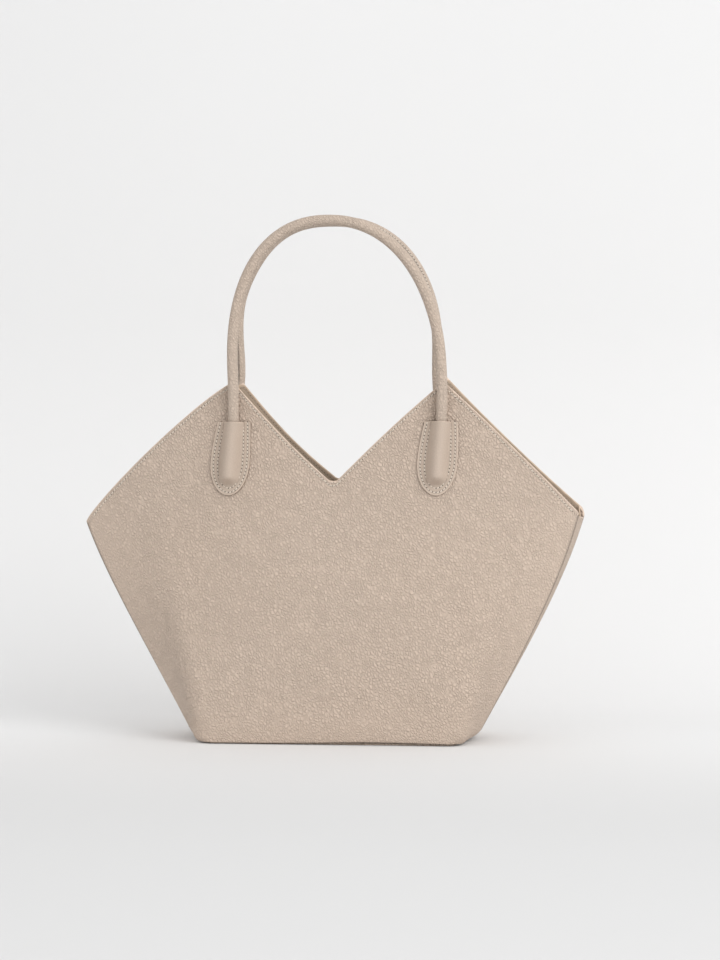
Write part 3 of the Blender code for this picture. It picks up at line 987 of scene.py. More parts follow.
@dataclass(frozen=True)
class BagForm:
    """Outer form of the bag: a boxed base that flares to a thin mouth with two peaks and two tips.

    Attributes:
        corner_rises: Height of the round corner over the floor, at the left and the right end.
        end_power: How close to the ends the flanks' growth stays.
        bulge_rise: How low the swell of the panels is.
        lens_power: Fullness of the mouth's section.
        snap_height: Height of the snap, where the panels have no dents.
    """

    base_width: float
    base_depth: float
    tip_spacing: float
    base_thickness: float
    edges: dict[Side, TopEdge]
    dents: dict[Side, tuple[Dent, ...]]
    corner_radius: float = 0.012
    peak_spacing: float = 0.194
    notch_flat: float = 0.006
    peak: float = 0.336
    tip: float = 0.211
    mouth_depth: float = 0.060
    taper_height: float = 0.290
    sway: float = 0.006
    bulge: float = 0.007
    strip_width: float = 0.024
    seam_gap: float = 0.0003
    corner_rises: tuple[float, float] = (0.0058, 0.0108)
    corner_growth: float = 0.0140
    flank_bow: float = 0.0118
    lean: float = 0.0019
    end_power: float = 3.0
    bulge_rise: float = 0.55
    lens_power: float = 3.2
    snap_height: float = 0.213
    snap_reach: float = 0.035
    rim_lift: float = 0.0017
    rim_start: float = 0.0475
    floor_z: float = 0.0008

    @classmethod
    def from_frame(cls) -> BagForm:
        """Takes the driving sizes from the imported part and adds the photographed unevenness.

        Returns:
            The form.
        """
        low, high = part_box("base_panel")
        front_low, front_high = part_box("front_panel")
        edges = {
            Side.FRONT: TopEdge((0.2028, 0.3320, 0.2406, 0.3320, 0.2112),
                                (0.0125, -0.0035, 0.0025, 0.0020),
                                (-0.0094, 0.0012), (0.0004, 0.0010)),
            Side.BACK: TopEdge((0.2045, 0.3345, 0.2429, 0.3386, 0.2146),
                               (0.0060, -0.0054, 0.0, -0.0020),
                               (-0.0091, 0.0064), (0.0020, 0.0060)),
        }
        swells = {
            Side.FRONT: (
                (-0.020, 0.150, 0.060, 0.070, 0.0022), (0.105, 0.120, 0.045, 0.080, 0.0016),
                (-0.120, 0.130, 0.040, 0.060, -0.0015), (0.009, 0.214, 0.006, 0.036, -0.0014),
                (0.000, 0.151, 0.075, 0.009, 0.0009), (0.015, 0.130, 0.070, 0.008, 0.0008),
                (0.091, 0.200, 0.008, 0.022, -0.0012), (0.098, 0.028, 0.016, 0.030, 0.0024)),
            Side.BACK: (
                (0.030, 0.140, 0.070, 0.070, 0.0020), (-0.100, 0.150, 0.045, 0.070, -0.0014)),
        }
        dents = {side: tuple(Dent(*row) for row in rows) for side, rows in swells.items()}
        return cls(high.x - low.x, high.y - low.y, front_high.x - front_low.x, high.z - low.z,
                   edges, dents)

    @property
    def half(self) -> float:
        """Half the distance between the tips."""
        return self.tip_spacing / 2

    @property
    def peak_share(self) -> float:
        """Share of the peaks across the bag."""
        return self.peak_spacing / self.tip_spacing

    @property
    def flat_share(self) -> float:
        """Half share of the flat at the notch."""
        return self.notch_flat / self.tip_spacing

    def top(self, share: float, side: Side) -> float:
        """Height of the top edge of a side."""
        return self.edges[side].height(share, self.peak_share, self.flat_share)

    def rise(self, z: float, share: float, side: Side) -> float:
        """Rise of the panel point at a height."""
        return (z - self.floor_z) / (self.top(share, side) - self.floor_z)

    def sway_at(self, z: float) -> float:
        """Sideways lean above the tips."""
        return self.sway * max(0.0, (z - self.tip) / (self.peak - self.tip))

    def base_outline(self, share: float) -> tuple[float, float]:
        """Point of the base's outline on the front half.

        Args:
            share: Share of the way round, 0 in the middle and 1 at the side strip.

        Returns:
            Its x and y.
        """
        radius, front = self.corner_radius, -self.base_depth / 2
        flat, arc = self.base_width / 2 - radius, radius * pi / 2
        run = abs(share) * (flat + arc + self.base_depth / 2 - radius - self.strip_width / 2)
        if run <= flat:
            x, y = run, front
        elif run <= flat + arc:
            angle = (run - flat) / radius
            x, y = flat + radius * sin(angle), front + radius * (1 - cos(angle))
        else:
            x, y = self.base_width / 2, front + radius + run - flat - arc
        return (x if share >= 0 else -x), y

    def middle_depth(self, z: float) -> float:
        """Distance of the panel's middle from the middle plane."""
        swell = min(1.0, max(0.0, z) / self.taper_height) ** self.bulge_rise
        taper = lerp(self.base_depth, self.mouth_depth, smooth(z / self.taper_height)) / 2
        return taper + self.bulge * 4 * swell * (1 - swell)

    def point(self, share: float, rise: float, side: Side) -> Vector:
        """Point of a panel's outer face.

        Args:
            share: Place across, -1 to 1.
            rise: Place up, 0 to 1.
            side: Side of the bag.

        Returns:
            The point.
        """
        base_x, base_y = self.base_outline(share)
        z = lerp(self.floor_z, self.top(share, side), rise)
        x = lerp(base_x, share * self.half, rise) + self.growth(share, rise, z, side)
        x += self.sway_at(z)
        strip = self.strip_width / 2
        boxed = (abs(base_y) - strip) / (self.base_depth / 2 - strip)
        lens = 1 - abs(share) ** self.lens_power
        y = strip + (self.middle_depth(z) - strip) * lerp(boxed, lens, smooth(z / self.tip))
        # The dents fade out at the panel's edges and round the snap, the lift just over the floor.
        fade = smooth((1 - abs(share)) * 5) * smooth(rise * 6) * smooth((1 - rise) * 5)
        fade *= 1 - hump(x, 0.0, self.snap_reach) * hump(z, self.snap_height, self.snap_reach)
        y += fade * sum(dent.at(x, z) for dent in self.dents[side])
        z += self.lift(x, side.value * y) * (1 - smooth(rise * 9))
        return Vector((x, side.value * y, z))

    def growth(self, share: float, rise: float, z: float, side: Side) -> float:
        """Sideways growth over the plain flare, from the round corner at the floor to the tips."""
        right = share > 0
        low = clamp((z - self.floor_z) / self.corner_rises[right])
        corner = sqrt(1 - (1 - low) ** 2)
        reach = self.corner_growth * (1 - rise) * corner + self.flank_bow * rise * (1 - rise ** 3)
        outward = (1 if right else -1) * reach + self.edges[side].tip_shifts[right] * rise
        return abs(share) ** self.end_power * outward + self.lean * sin(pi * rise)

    def lift(self, x: float, y: float) -> float:
        """How far the soft rim stands off the floor along the front of the bottom."""
        return self.rim_lift * hump(x, 0.045, 0.07) * smooth((-y - self.rim_start) / 0.006)

    def outward(self, share: float, rise: float, side: Side) -> Vector:
        """Unit normal of a panel, pointing away from the bag."""
        step = 0.0005
        share = max(-1 + step, min(1 - step, share))
        rise = max(step, min(1 - step, rise))
        across = self.point(share + step, rise, side) - self.point(share - step, rise, side)
        upward = self.point(share, rise + step, side) - self.point(share, rise - step, side)
        return (across.cross(upward) * -side.value).normalized()

    def layer(self, share: float, rise: float, side: Side, depth: float) -> Vector:
        """Point at a depth under the outer face."""
        return self.point(share, rise, side) - self.outward(share, rise, side) * depth

    def seam_at(self, share: float, rise: float, side: Side, depth: float) -> Aimed:
        """Point at a depth under the outer face, facing in where the depth is inside."""
        normal = self.outward(share, rise, side)
        return self.layer(share, rise, side, depth), -normal if depth > 0 else normal

    def find(self, x: float, z: float, side: Side) -> tuple[float, float]:
        """Share and rise of the panel point at a place across and a height.

        Args:
            x: Place across.
            z: Height.
            side: Side of the bag.

        Returns:
            The share and the rise.
        """
        share, rise = x / self.half, z / self.top(x / self.half, side)
        for _ in range(12):
            point = self.point(share, rise, side)
            share = max(-1.0, min(1.0, share + (x - point.x) / self.half))
            rise = clamp(rise + (z - point.z) / self.top(share, side))
        return share, rise


# Trees that work along lines


class LineTree:
    """Geometry Nodes tree that works along each line of a mesh and reads where it faces."""

    def __init__(self, name: str, sizes: dict[str, float]) -> None:
        """Starts the tree with its sizes.

        Args:
            name: Name of the tree.
            sizes: Default values by name.
        """
        self.group = NodeGroup(name, {"Geometry": GEOMETRY, **sizes, "Material": MATERIAL},
                               "GeometryNodeTree")
        nodes = self.group.nodes
        self.curves = nodes.out("GeometryNodeMeshToCurve", "Curve",
                                {"Mesh": self.group.inputs["Geometry"]})
        self.facing = nodes.out("GeometryNodeInputNamedAttribute", "Attribute",
                                {"Name": "facing"}, data_type="FLOAT_VECTOR")

    def close(self, geometry: Socket) -> None:
        """Makes the result real, dresses it and gives it to the tree's output."""
        nodes = self.group.nodes
        real = nodes.out("GeometryNodeRealizeInstances", "Geometry", {"Geometry": geometry})
        self.group.close(Geometry=nodes.out("GeometryNodeSetMaterial", "Geometry", {
            "Geometry": real, "Material": self.group.inputs["Material"]}))

    def run(self, name: str, lines: Iterable[Line], finish: Material, **sizes: float) -> Piece:
        """Runs the tree on lines and settles the result as one piece.

        Args:
            name: Name of the piece.
            lines: The lines.
            finish: Its material.
            sizes: Inputs of the tree, underscores standing for spaces.

        Returns:
            The piece.
        """
        points, edges, facings = [], [], []
        for line in lines:
            edges += [(i, i + 1) for i in range(len(points), len(points) + len(line) - 1)]
            points += [tuple(point) for point, _ in line]
            facings += [value for _, facing in line for value in facing]
        mesh = bpy.data.meshes.new(name)
        mesh.from_pydata(points, edges, [])
        mesh.attributes.new("facing", "FLOAT_VECTOR", "POINT").data.foreach_set("vector", facings)
        piece = add_object(name, mesh)
        modifier = piece.modifiers.new("Along lines", "NODES")
        modifier.node_group = self.group.tree
        for label, value in {**sizes, "Material": finish}.items():
            modifier[self.group.identifiers[label.replace("_", " ")]] = value
        return settle(piece)


class StitchTree(LineTree):
    """Sews stitches along each line of a mesh."""

    def __init__(self) -> None:
        """Builds the tree."""
        super().__init__("stitch_rows", {
            "Pitch": 0.0034, "Stitch Length": 0.0026, "Thread Radius": 0.00044, "Rise": 0.00025,
            "Sink": 0.0005, "Slant": 0.2, "Hole Radius": 0.00055})
        nodes = self.group.nodes
        pair = nodes.add("GeometryNodeJoinGeometry")
        for part in (self.hole(), self.stitch()):
            nodes.feed(pair, "Geometry", part)
        spaced = nodes.out("GeometryNodeResampleCurve", "Curve", {
            "Curve": self.curves, "Length": self.group.inputs["Pitch"]}, mode="LENGTH")
        tangent = nodes.out("GeometryNodeInputTangent", "Tangent")
        turned = nodes.out("FunctionNodeAlignRotationToVector", "Rotation",
                           {"Vector": tangent}, axis="X")
        level = nodes.out("FunctionNodeAlignRotationToVector", "Rotation", {
            "Rotation": turned, "Vector": self.facing}, axis="Z", pivot_axis="X")
        slack = nodes.out("FunctionNodeRandomValue", "Value", {
            "Seed": 7, "Min": (0.94, 0.92, 0.85), "Max": (1.04, 1.08, 1.12)},
            data_type="FLOAT_VECTOR")
        self.close(nodes.out("GeometryNodeInstanceOnPoints", "Instances", {
            "Points": spaced, "Instance": pair.outputs["Geometry"], "Rotation": level,
            "Scale": slack}))

    def stitch(self) -> Socket:
        """Bow of thread that dives into the leather at both ends.

        Returns:
            Its mesh.
        """
        nodes, source = self.group.nodes, self.group.inputs
        half, low = nodes.times(source["Stitch Length"], 0.5), nodes.times(source["Sink"], -1.0)
        arc = nodes.out("GeometryNodeCurveQuadraticBezier", "Curve", {
            "Resolution": 6, "Start": nodes.xyz(X=nodes.times(half, -1.0), Z=low),
            "Middle": nodes.xyz(Z=nodes.line(source["Rise"], 2.0, source["Sink"])),
            "End": nodes.xyz(X=half, Z=low)})
        marked = nodes.store(arc, "stitch_share",
                             nodes.out("GeometryNodeSplineParameter", "Factor"))
        ring = nodes.out("GeometryNodeCurvePrimitiveCircle", "Curve",
                         {"Resolution": 6, "Radius": source["Thread Radius"]})
        bow = nodes.out("GeometryNodeCurveToMesh", "Mesh",
                        {"Curve": marked, "Profile Curve": ring, "Fill Caps": True})
        return nodes.out("GeometryNodeTransform", "Geometry", {
            "Geometry": bow, "Rotation": nodes.xyz(Z=source["Slant"])})

    def hole(self) -> Socket:
        """Flat dark mark between two stitches, a painted shade standing in for the needle hole.

        Returns:
            Its mesh.
        """
        nodes, source = self.group.nodes, self.group.inputs
        ball = nodes.out("GeometryNodeMeshUVSphere", "Mesh", {
            "Segments": 8, "Rings": 4, "Radius": source["Hole Radius"]})
        aside = nodes.xyz(X=nodes.times(source["Pitch"], 0.5), Z=-0.00008)
        pressed = nodes.out("GeometryNodeTransform", "Geometry", {
            "Geometry": ball, "Translation": aside, "Scale": (1.0, 0.8, 0.28)})
        return nodes.store(pressed, "needle_hole_shade", 1.0)


class RollTree(LineTree):
    """Rolls a lapped tube round each line of a mesh, its lap where the line faces."""

    def __init__(self) -> None:
        """Builds the tree."""
        super().__init__("rolled_tube", {"Radius": 0.005, "Lap": 0.0005, "Lap Share": 0.22})
        nodes, source = self.group.nodes, self.group.inputs
        fixed = nodes.out("GeometryNodeSetCurveNormal", "Curve", {
            "Curve": self.curves, "Normal": self.facing}, mode="FREE")
        spline = nodes.add("GeometryNodeSplineParameter").outputs
        ring = nodes.out("GeometryNodeCurvePrimitiveCircle", "Curve",
                         {"Resolution": 40, "Radius": 1.0})
        share = nodes.out("GeometryNodeInputNamedAttribute", "Attribute", {"Name": "around"},
                          data_type="FLOAT")
        lapped = nodes.times(nodes.ramp(share, source["Lap Share"], 0.0),
                             nodes.math("GREATER_THAN", share, 0.0001))
        run = nodes.times(share, nodes.times(source["Radius"], 2 * pi))
        grown = nodes.line(lapped, source["Lap"], source["Radius"])
        place = nodes.out("GeometryNodeInputPosition", "Position")
        profile = nodes.out("GeometryNodeSetPosition", "Geometry", {
            "Geometry": nodes.store(ring, "around", spline["Factor"]),
            "Position": nodes.scaled(place, grown)})
        tube = nodes.out("GeometryNodeCurveToMesh", "Mesh", {
            "Curve": nodes.store(fixed, "along", spline["Length"]), "Profile Curve": profile,
            "Fill Caps": True})
        # The joint mark gives the handle a painted shade line along its lap.
        for label, value in (("seam_distance", run), ("edge", 1.0),
                             ("joint", nodes.line(run, 1.0, -0.0008))):
            tube = nodes.store(tube, label, value)
        self.close(tube)


# Body of the bag


@dataclass
class Body:
    """Leather shell of the bag: panels, side strips and base.

    Attributes:
        top_roll: How much of that the top edges have.
        slant: Length along the surface for one of height at the sloping top edges.
        edge_steps: Distances of the rows and columns next to an edge.
        strip_rise: Share of a tip's height that the strips reach.
        floor_seam: How much of the seam with the base the panels hide.
        base_inset: How far the bottom lies inside the panels' outer faces.
    """

    form: BagForm
    finishes: Finishes
    thickness: float = 0.0020
    roll: float = 0.0011
    top_roll: float = 0.8
    slant: float = 1.42
    edge_steps: tuple[float, ...] = (0.0, 0.0002, 0.0005, 0.0009, 0.0014, 0.0021, 0.0030, 0.0042)
    inner_columns: int = 44
    outer_columns: int = 54
    middle_rows: int = 92
    strip_columns: int = 10
    strip_rise: float = 0.99
    strip_swell: float = 0.0002
    floor_seam: float = 0.0012
    base_inset: float = 0.0026
    base_rings: tuple[float, ...] = (0.004, 0.010, 0.020, 0.034)
    roll_steps: int = 10
    corner_steps: int = 12

    def shares(self) -> list[float]:
        """Shares of the columns, with one on each corner of the top edge.

        Returns:
            The shares.
        """
        form = self.form
        last = 1 - self.edge_steps[-1] / form.half
        right = [lerp(start, end, i / count)
                 for start, end, count in ((form.flat_share, form.peak_share, self.inner_columns),
                                           (form.peak_share, last, self.outer_columns))
                 for i in range(count)]
        right += [1 - step / form.half for step in reversed(self.edge_steps)]
        return [-share for share in reversed(right)] + [0.0] + right

    def rises(self, share: float, side: Side) -> list[float]:
        """Rises of the points of one column, closer together at the bottom and the top."""
        form = self.form
        low = [form.floor_z + step for step in self.edge_steps]
        high = [form.top(share, side) - step * self.slant for step in reversed(self.edge_steps)]
        middle = [lerp(low[-1], high[0], i / self.middle_rows) for i in range(1, self.middle_rows)]
        return [form.rise(z, share, side) for z in low + middle + high]

    def turned(self, distance: float) -> float:
        """How far a turned edge falls back at a distance from its rim."""
        if distance >= self.roll:
            return 0.0
        return self.roll - sqrt(self.roll ** 2 - (self.roll - distance) ** 2)

    def build_panel(self, side: Side) -> Piece:
        """Builds and places a panel with its turned edges.

        Args:
            side: Side of the bag.

        Returns:
            The panel.
        """
        form, columns = self.form, []
        for share in self.shares():
            top, tip = form.top(share, side), form.top(1.0 if share > 0 else -1.0, side)
            to_side = (1 - abs(share)) * form.half
            column = []
            for rise in self.rises(share, side):
                z = lerp(form.floor_z, top, rise)
                to_top, to_floor = (top - z) / self.slant, z - form.floor_z
                fall = max(self.turned(to_top) * self.top_roll, self.turned(to_side),
                           self.turned(to_floor))
                over_strip = max(0.0, z - tip * self.strip_rise)
                joint = min(hypot(to_side, over_strip), to_floor + self.floor_seam)
                column.append((form.layer(share, rise, side, fall), to_top, joint, to_top))
            columns.append(column)
        sheet = Sheet.marked(list(zip(*columns)), "edge", "joint", "seam_distance")
        piece = shell(f"{side.label}_leather_panel", sheet, side, self.thickness,
                      self.finishes.panel, rounding=0.0006)
        return fit(piece, Slot.LEATHER, f"{side.label}_panel")

    def build_strip(self, end: End) -> Piece:
        """Builds and places a side strip, which falls back at its seams.

        Args:
            end: End of the bag.

        Returns:
            The strip.
        """
        form, rows = self.form, []
        steps = self.middle_rows + 2 * len(self.edge_steps)
        for i in range(steps + 1):
            rise, row = self.strip_rise * i / steps, []
            front, back = (form.point(float(end.value), rise, side) for side in Side)
            low_y, high_y = front.y + form.seam_gap, back.y - form.seam_gap
            for j in range(self.strip_columns + 1):
                part = eased(j, self.strip_columns)
                to_seam = min(part, 1 - part) * (high_y - low_y)
                swell = self.strip_swell * sin(pi * part) - self.turned(to_seam)
                middle = front.lerp(back, part)
                point = Vector((middle.x + end.value * swell, lerp(low_y, high_y, part), middle.z))
                row.append((point, (self.strip_rise - rise) * form.tip,
                            min(to_seam, middle.z - form.floor_z)))
            rows.append(row)
        face = Side.FRONT if end is End.RIGHT else Side.BACK
        piece = shell(f"{end.label}_leather_side", Sheet.marked(rows, "edge", "joint"), face,
                      self.thickness, self.finishes.side, rounding=0.0005)
        return fit(piece, Slot.LEATHER, f"{end.label}_side_strip")

    def build_base(self) -> Piece:
        """Builds and places the leather bottom with its rolled rim.

        Returns:
            The bottom.
        """
        thickness = self.form.base_thickness
        angles = [pi * i / self.roll_steps for i in range(self.roll_steps + 1)]
        rings = [(inset, 0.0) for inset in reversed(self.base_rings)]
        rings += [(thickness / 2 * (1 - sin(angle)), thickness / 2 * (1 - cos(angle)))
                  for angle in angles]
        rings += [(inset, thickness) for inset in self.base_rings]
        points, joints, count = [], [], len(self.outline(0.0))
        for inset, z in rings:
            points += [(x, y, z) for x, y in self.outline(inset + self.base_inset)]
            joints += [hypot(inset, thickness - z)] * count
        last = len(points) - count
        faces = [(i + j, i + (j + 1) % count, i + count + (j + 1) % count, i + count + j)
                 for i in range(0, last, count) for j in range(count)]
        faces += [tuple(range(count - 1, -1, -1)), tuple(range(last, len(points)))]
        mesh = bpy.data.meshes.new("leather_base")
        mesh.from_pydata(points, [], faces)
        mark_points(mesh, "joint", joints)
        mark_points(mesh, "edge", [1.0] * len(points))
        mesh.materials.append(self.finishes.base)
        mesh.shade_smooth()
        return fit(add_object("leather_base", mesh), Slot.LEATHER, "base_panel")

    def outline(self, inset: float) -> list[tuple[float, float]]:
        """Outline of the base, made smaller by an inset, counterclockwise.

        Args:
            inset: The inset.

        Returns:
            Points across and back.
        """
        form = self.form
        radius = max(form.corner_radius - inset, form.corner_radius / 4)
        x, y = (size / 2 - inset - radius for size in (form.base_width, form.base_depth))
        turns = [(pi / 2 * (quarter + i / self.corner_steps), sx, sy)
                 for quarter, (sx, sy) in enumerate(((1, 1), (-1, 1), (-1, -1), (1, -1)))
                 for i in range(self.corner_steps + 1)]
        return [(sx * x + radius * cos(angle), sy * y + radius * sin(angle))
                for angle, sx, sy in turns]

    def build(self) -> list[Piece]:
        """Builds the whole shell."""
        return [*map(self.build_panel, Side), *map(self.build_strip, End), self.build_base()]


@dataclass
class TopStitch:
    """Rows of stitches along the top edges, seen outside and on the facings."""

    body: Body
    stitches: StitchTree
    finishes: Finishes
    inset: ClassVar[float] = 0.0029
    pitch: ClassVar[float] = 0.0034
    end_gap: ClassVar[float] = 0.006

    def line(self, side: Side, depth: float) -> Line:
        """Line of the row at a depth under the outer face of a side."""
        form, drop = self.body.form, self.inset * self.body.slant
        reach = 1 - self.end_gap / form.half
        return [form.seam_at(share, form.rise(form.top(share, side) - drop, share, side), side,
                             depth) for share in self.body.shares() if abs(share) <= reach]

    def build(self, facing_depth: float) -> list[Piece]:
        """Builds and places the rows at the top edges, outside and inside.

        Args:
            facing_depth: Depth of the facings' inner faces next to the edge.

        Returns:
            The stitches.
        """
        pieces = []
        for name, depth, finish in (
                ("top_edge_stitches", 0.0, self.finishes.thread),
                ("top_edge_inner_stitches", facing_depth, self.finishes.inner_thread)):
            lines = [self.line(side, depth) for side in Side]
            pieces.append(self.stitches.run(name, lines, finish, Pitch=self.pitch))
            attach(pieces[-1], BAG)
        return pieces


# Tabs


@dataclass(frozen=True)
class TabShape:
    """Cut of a handle tab, with a long round end, and the swell over the handle's end.

    Attributes:
        cover_length: Length of the handle's end under the tab.
        insets: Distances of the two rows of stitches from the edge.
    """

    top: float
    length: float = 0.068
    end_length: float = 0.030
    top_width: float = 0.0304
    width: float = 0.0366
    thickness: float = 0.0015
    swell_width: float = 0.0174
    swell_power: float = 1.05
    swell_end: float = 0.0590
    cover_length: float = 0.0515
    drift: float = 0.0045
    insets: ClassVar[tuple[float, float]] = (0.0026, 0.0066)

    @property
    def round_start(self) -> float:
        """Distance under the top edge at which the round end begins."""
        return self.length - self.end_length

    def half_width(self, drop: float) -> float:
        """Half width at a distance under the top edge."""
        if drop <= self.round_start:
            return lerp(self.top_width, self.width, sin(drop / self.round_start * pi / 2)) / 2
        fall = (drop - self.round_start) / self.end_length
        return self.width / 2 * sqrt(max(0.0, 1 - fall ** 2))

    def middle(self, drop: float) -> float:
        """Sideways place of the middle line, which drifts to the left on the way down."""
        return -self.drift * sin(min(1.0, drop / self.length) * pi / 2)

    def edge_distance(self, u: float, drop: float) -> float:
        """Distance of a point from the tab's side or round end.

        Args:
            u: Place across the tab.
            drop: Distance under its top.

        Returns:
            The distance.
        """
        if drop <= self.round_start:
            return self.half_width(drop) - abs(u)
        low, high = 0.0, self.width / 2
        for _ in range(14):
            inset = (low + high) / 2
            across, down = self.width / 2 - inset, max(1e-6, self.end_length - inset)
            if (u / max(1e-6, across)) ** 2 + ((drop - self.round_start) / down) ** 2 < 1:
                low = inset
            else:
                high = inset
        return low

    def swell(self, u: float, drop: float, rope: float) -> float:
        """Height of the tab over the panel above a handle's end.

        Args:
            u: Distance from the tab's middle line.
            drop: Distance under the top edge.
            rope: Diameter of the handle.

        Returns:
            The height.
        """
        reach = abs(u) / (self.swell_width / 2)
        if reach >= 1:
            return 0.0
        fade = clamp((drop - self.cover_length) / (self.swell_end - self.cover_length))
        return (rope + 0.0012) * (1 - reach ** 2) ** self.swell_power * (1 + cos(pi * fade)) / 2

    def seam_line(self, inset: float, start: float = 0.0016,
                  steps: int = 24) -> list[tuple[float, float]]:
        """U shaped line at an inset from the edge.

        Args:
            inset: The inset.
            start: Distance of its ends from the top edge.
            steps: Number of points on each straight side, and of steps round the end.

        Returns:
            Its points as u and drop, from the top left to the top right.
        """
        drops = [lerp(start, self.round_start, i / (steps - 1)) for i in range(steps)]
        left = [(-(self.half_width(drop) - inset), drop) for drop in drops]
        angles = [pi * i / steps for i in range(1, steps)]
        under = [(-(self.width / 2 - inset) * cos(angle),
                  self.round_start + (self.end_length - inset) * sin(angle)) for angle in angles]
        return left + under + [(-u, drop) for u, drop in reversed(left)]


@dataclass
class Tabs:
    """The four stitched tabs.

    Attributes:
        pivot_z: Height of the tabs' top; not used.
        press: How deep a row of stitches presses a tab in.
    """

    body: Body
    finishes: Finishes
    stitches: StitchTree
    shape: TabShape
    pivot_z: float
    leg_spacing: float = 0.192
    leg_shift: float = 0.0008
    rope_radius: float = 0.0050
    lift: float = 0.0003
    press: float = 0.00012
    pitch: float = 0.0033

    def leg_x(self, end: End) -> float:
        """Place of a handle leg across the bag."""
        sway = self.body.form.sway_at(self.shape.top)
        return end.value * self.leg_spacing / 2 + sway + self.leg_shift

    def surface(self, side: Side, end: End, u: float, drop: float, extra: float) -> Aimed:
        """Point over the panel on a tab, and its rough normal."""
        form = self.body.form
        x = self.leg_x(end) + self.shape.middle(drop) + u
        share, rise = form.find(x, self.shape.top - drop, side)
        height = self.lift + self.shape.swell(u, drop, 2 * self.rope_radius) + extra
        return form.layer(share, rise, side, -height), form.outward(share, rise, side)

    def drops(self) -> list[float]:
        """Distances of the rows under the top edge."""
        shape, edge = self.shape, [0.0, 0.0004, 0.0009, 0.0016, 0.0024]
        upper = [lerp(edge[-1], shape.round_start, i / 22) for i in range(1, 22)]
        # The last row ends just short of the point, where the columns would meet.
        lower = [shape.round_start + shape.end_length * sin(i / 28 * 0.985 * pi / 2)
                 for i in range(29)]
        return edge + upper + lower

    def build_tab(self, side: Side, end: End) -> Piece:
        """Builds and places one tab.

        Args:
            side: Side of the bag.
            end: End of the bag.

        Returns:
            The tab.
        """
        shape, rows = self.shape, []
        columns = [sin(pi / 2 * (i / 19)) for i in range(1, 20)]
        columns = [-value for value in reversed(columns)] + [0.0] + columns
        for drop in reversed(self.drops()):
            half, row = shape.half_width(drop), []
            for u in (half * column for column in columns):
                away = shape.edge_distance(u, drop)
                press = self.press * sum(hump(away, inset, 0.0011) for inset in shape.insets)
                point, _ = self.surface(side, end, u, drop, -press)
                row.append((point, min(away, drop), away, 1.0))
            rows.append(row)
        name = f"{side.label}_{end.label}"
        piece = shell(f"{name}_leather_tab", Sheet.marked(rows, "edge", "seam_distance", "joint"),
                      side, shape.thickness, self.finishes.tab, rounding=0.0005, outward=True,
                      rim=self.finishes.cut_edge)
        return fit(piece, Slot.LEATHER, f"{name}_tab")

    def tab_lines(self, side: Side, end: End) -> list[Line]:
        """Rows of stitches on one tab, which tilt with its swell.

        Args:
            side: Side of the bag.
            end: End of the bag.

        Returns:
            The rows.
        """
        lines, thickness, step = [], self.shape.thickness, 0.0005
        for inset in self.shape.insets:
            line = []
            for u, drop in self.shape.seam_line(inset):
                centre, normal = self.surface(side, end, u, drop, thickness - 0.0001)
                left, right = (self.surface(side, end, u + away, drop, thickness)[0]
                               for away in (-step, step))
                tilt = (right - left).cross(Vector((0.0, 0.0, 1.0))) * -side.value
                line.append((centre, (normal * 0.3 + tilt.normalized()).normalized()))
            lines.append(line)
        return lines

    def build(self) -> list[Piece]:
        """Builds the tabs and their stitches.

        Returns:
            The tabs and the stitches.
        """
        places = [(side, end) for side in Side for end in End]
        pieces = [self.build_tab(side, end) for side, end in places]
        lines = [line for side, end in places for line in self.tab_lines(side, end)]
        threads = self.stitches.run("tab_stitches", lines, self.finishes.thread, Pitch=self.pitch,
                                    Stitch_Length=0.0023, Thread_Radius=0.0005,
                                    Hole_Radius=0.00072)
        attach(threads, BAG)
        return [*pieces, threads]


# Inside


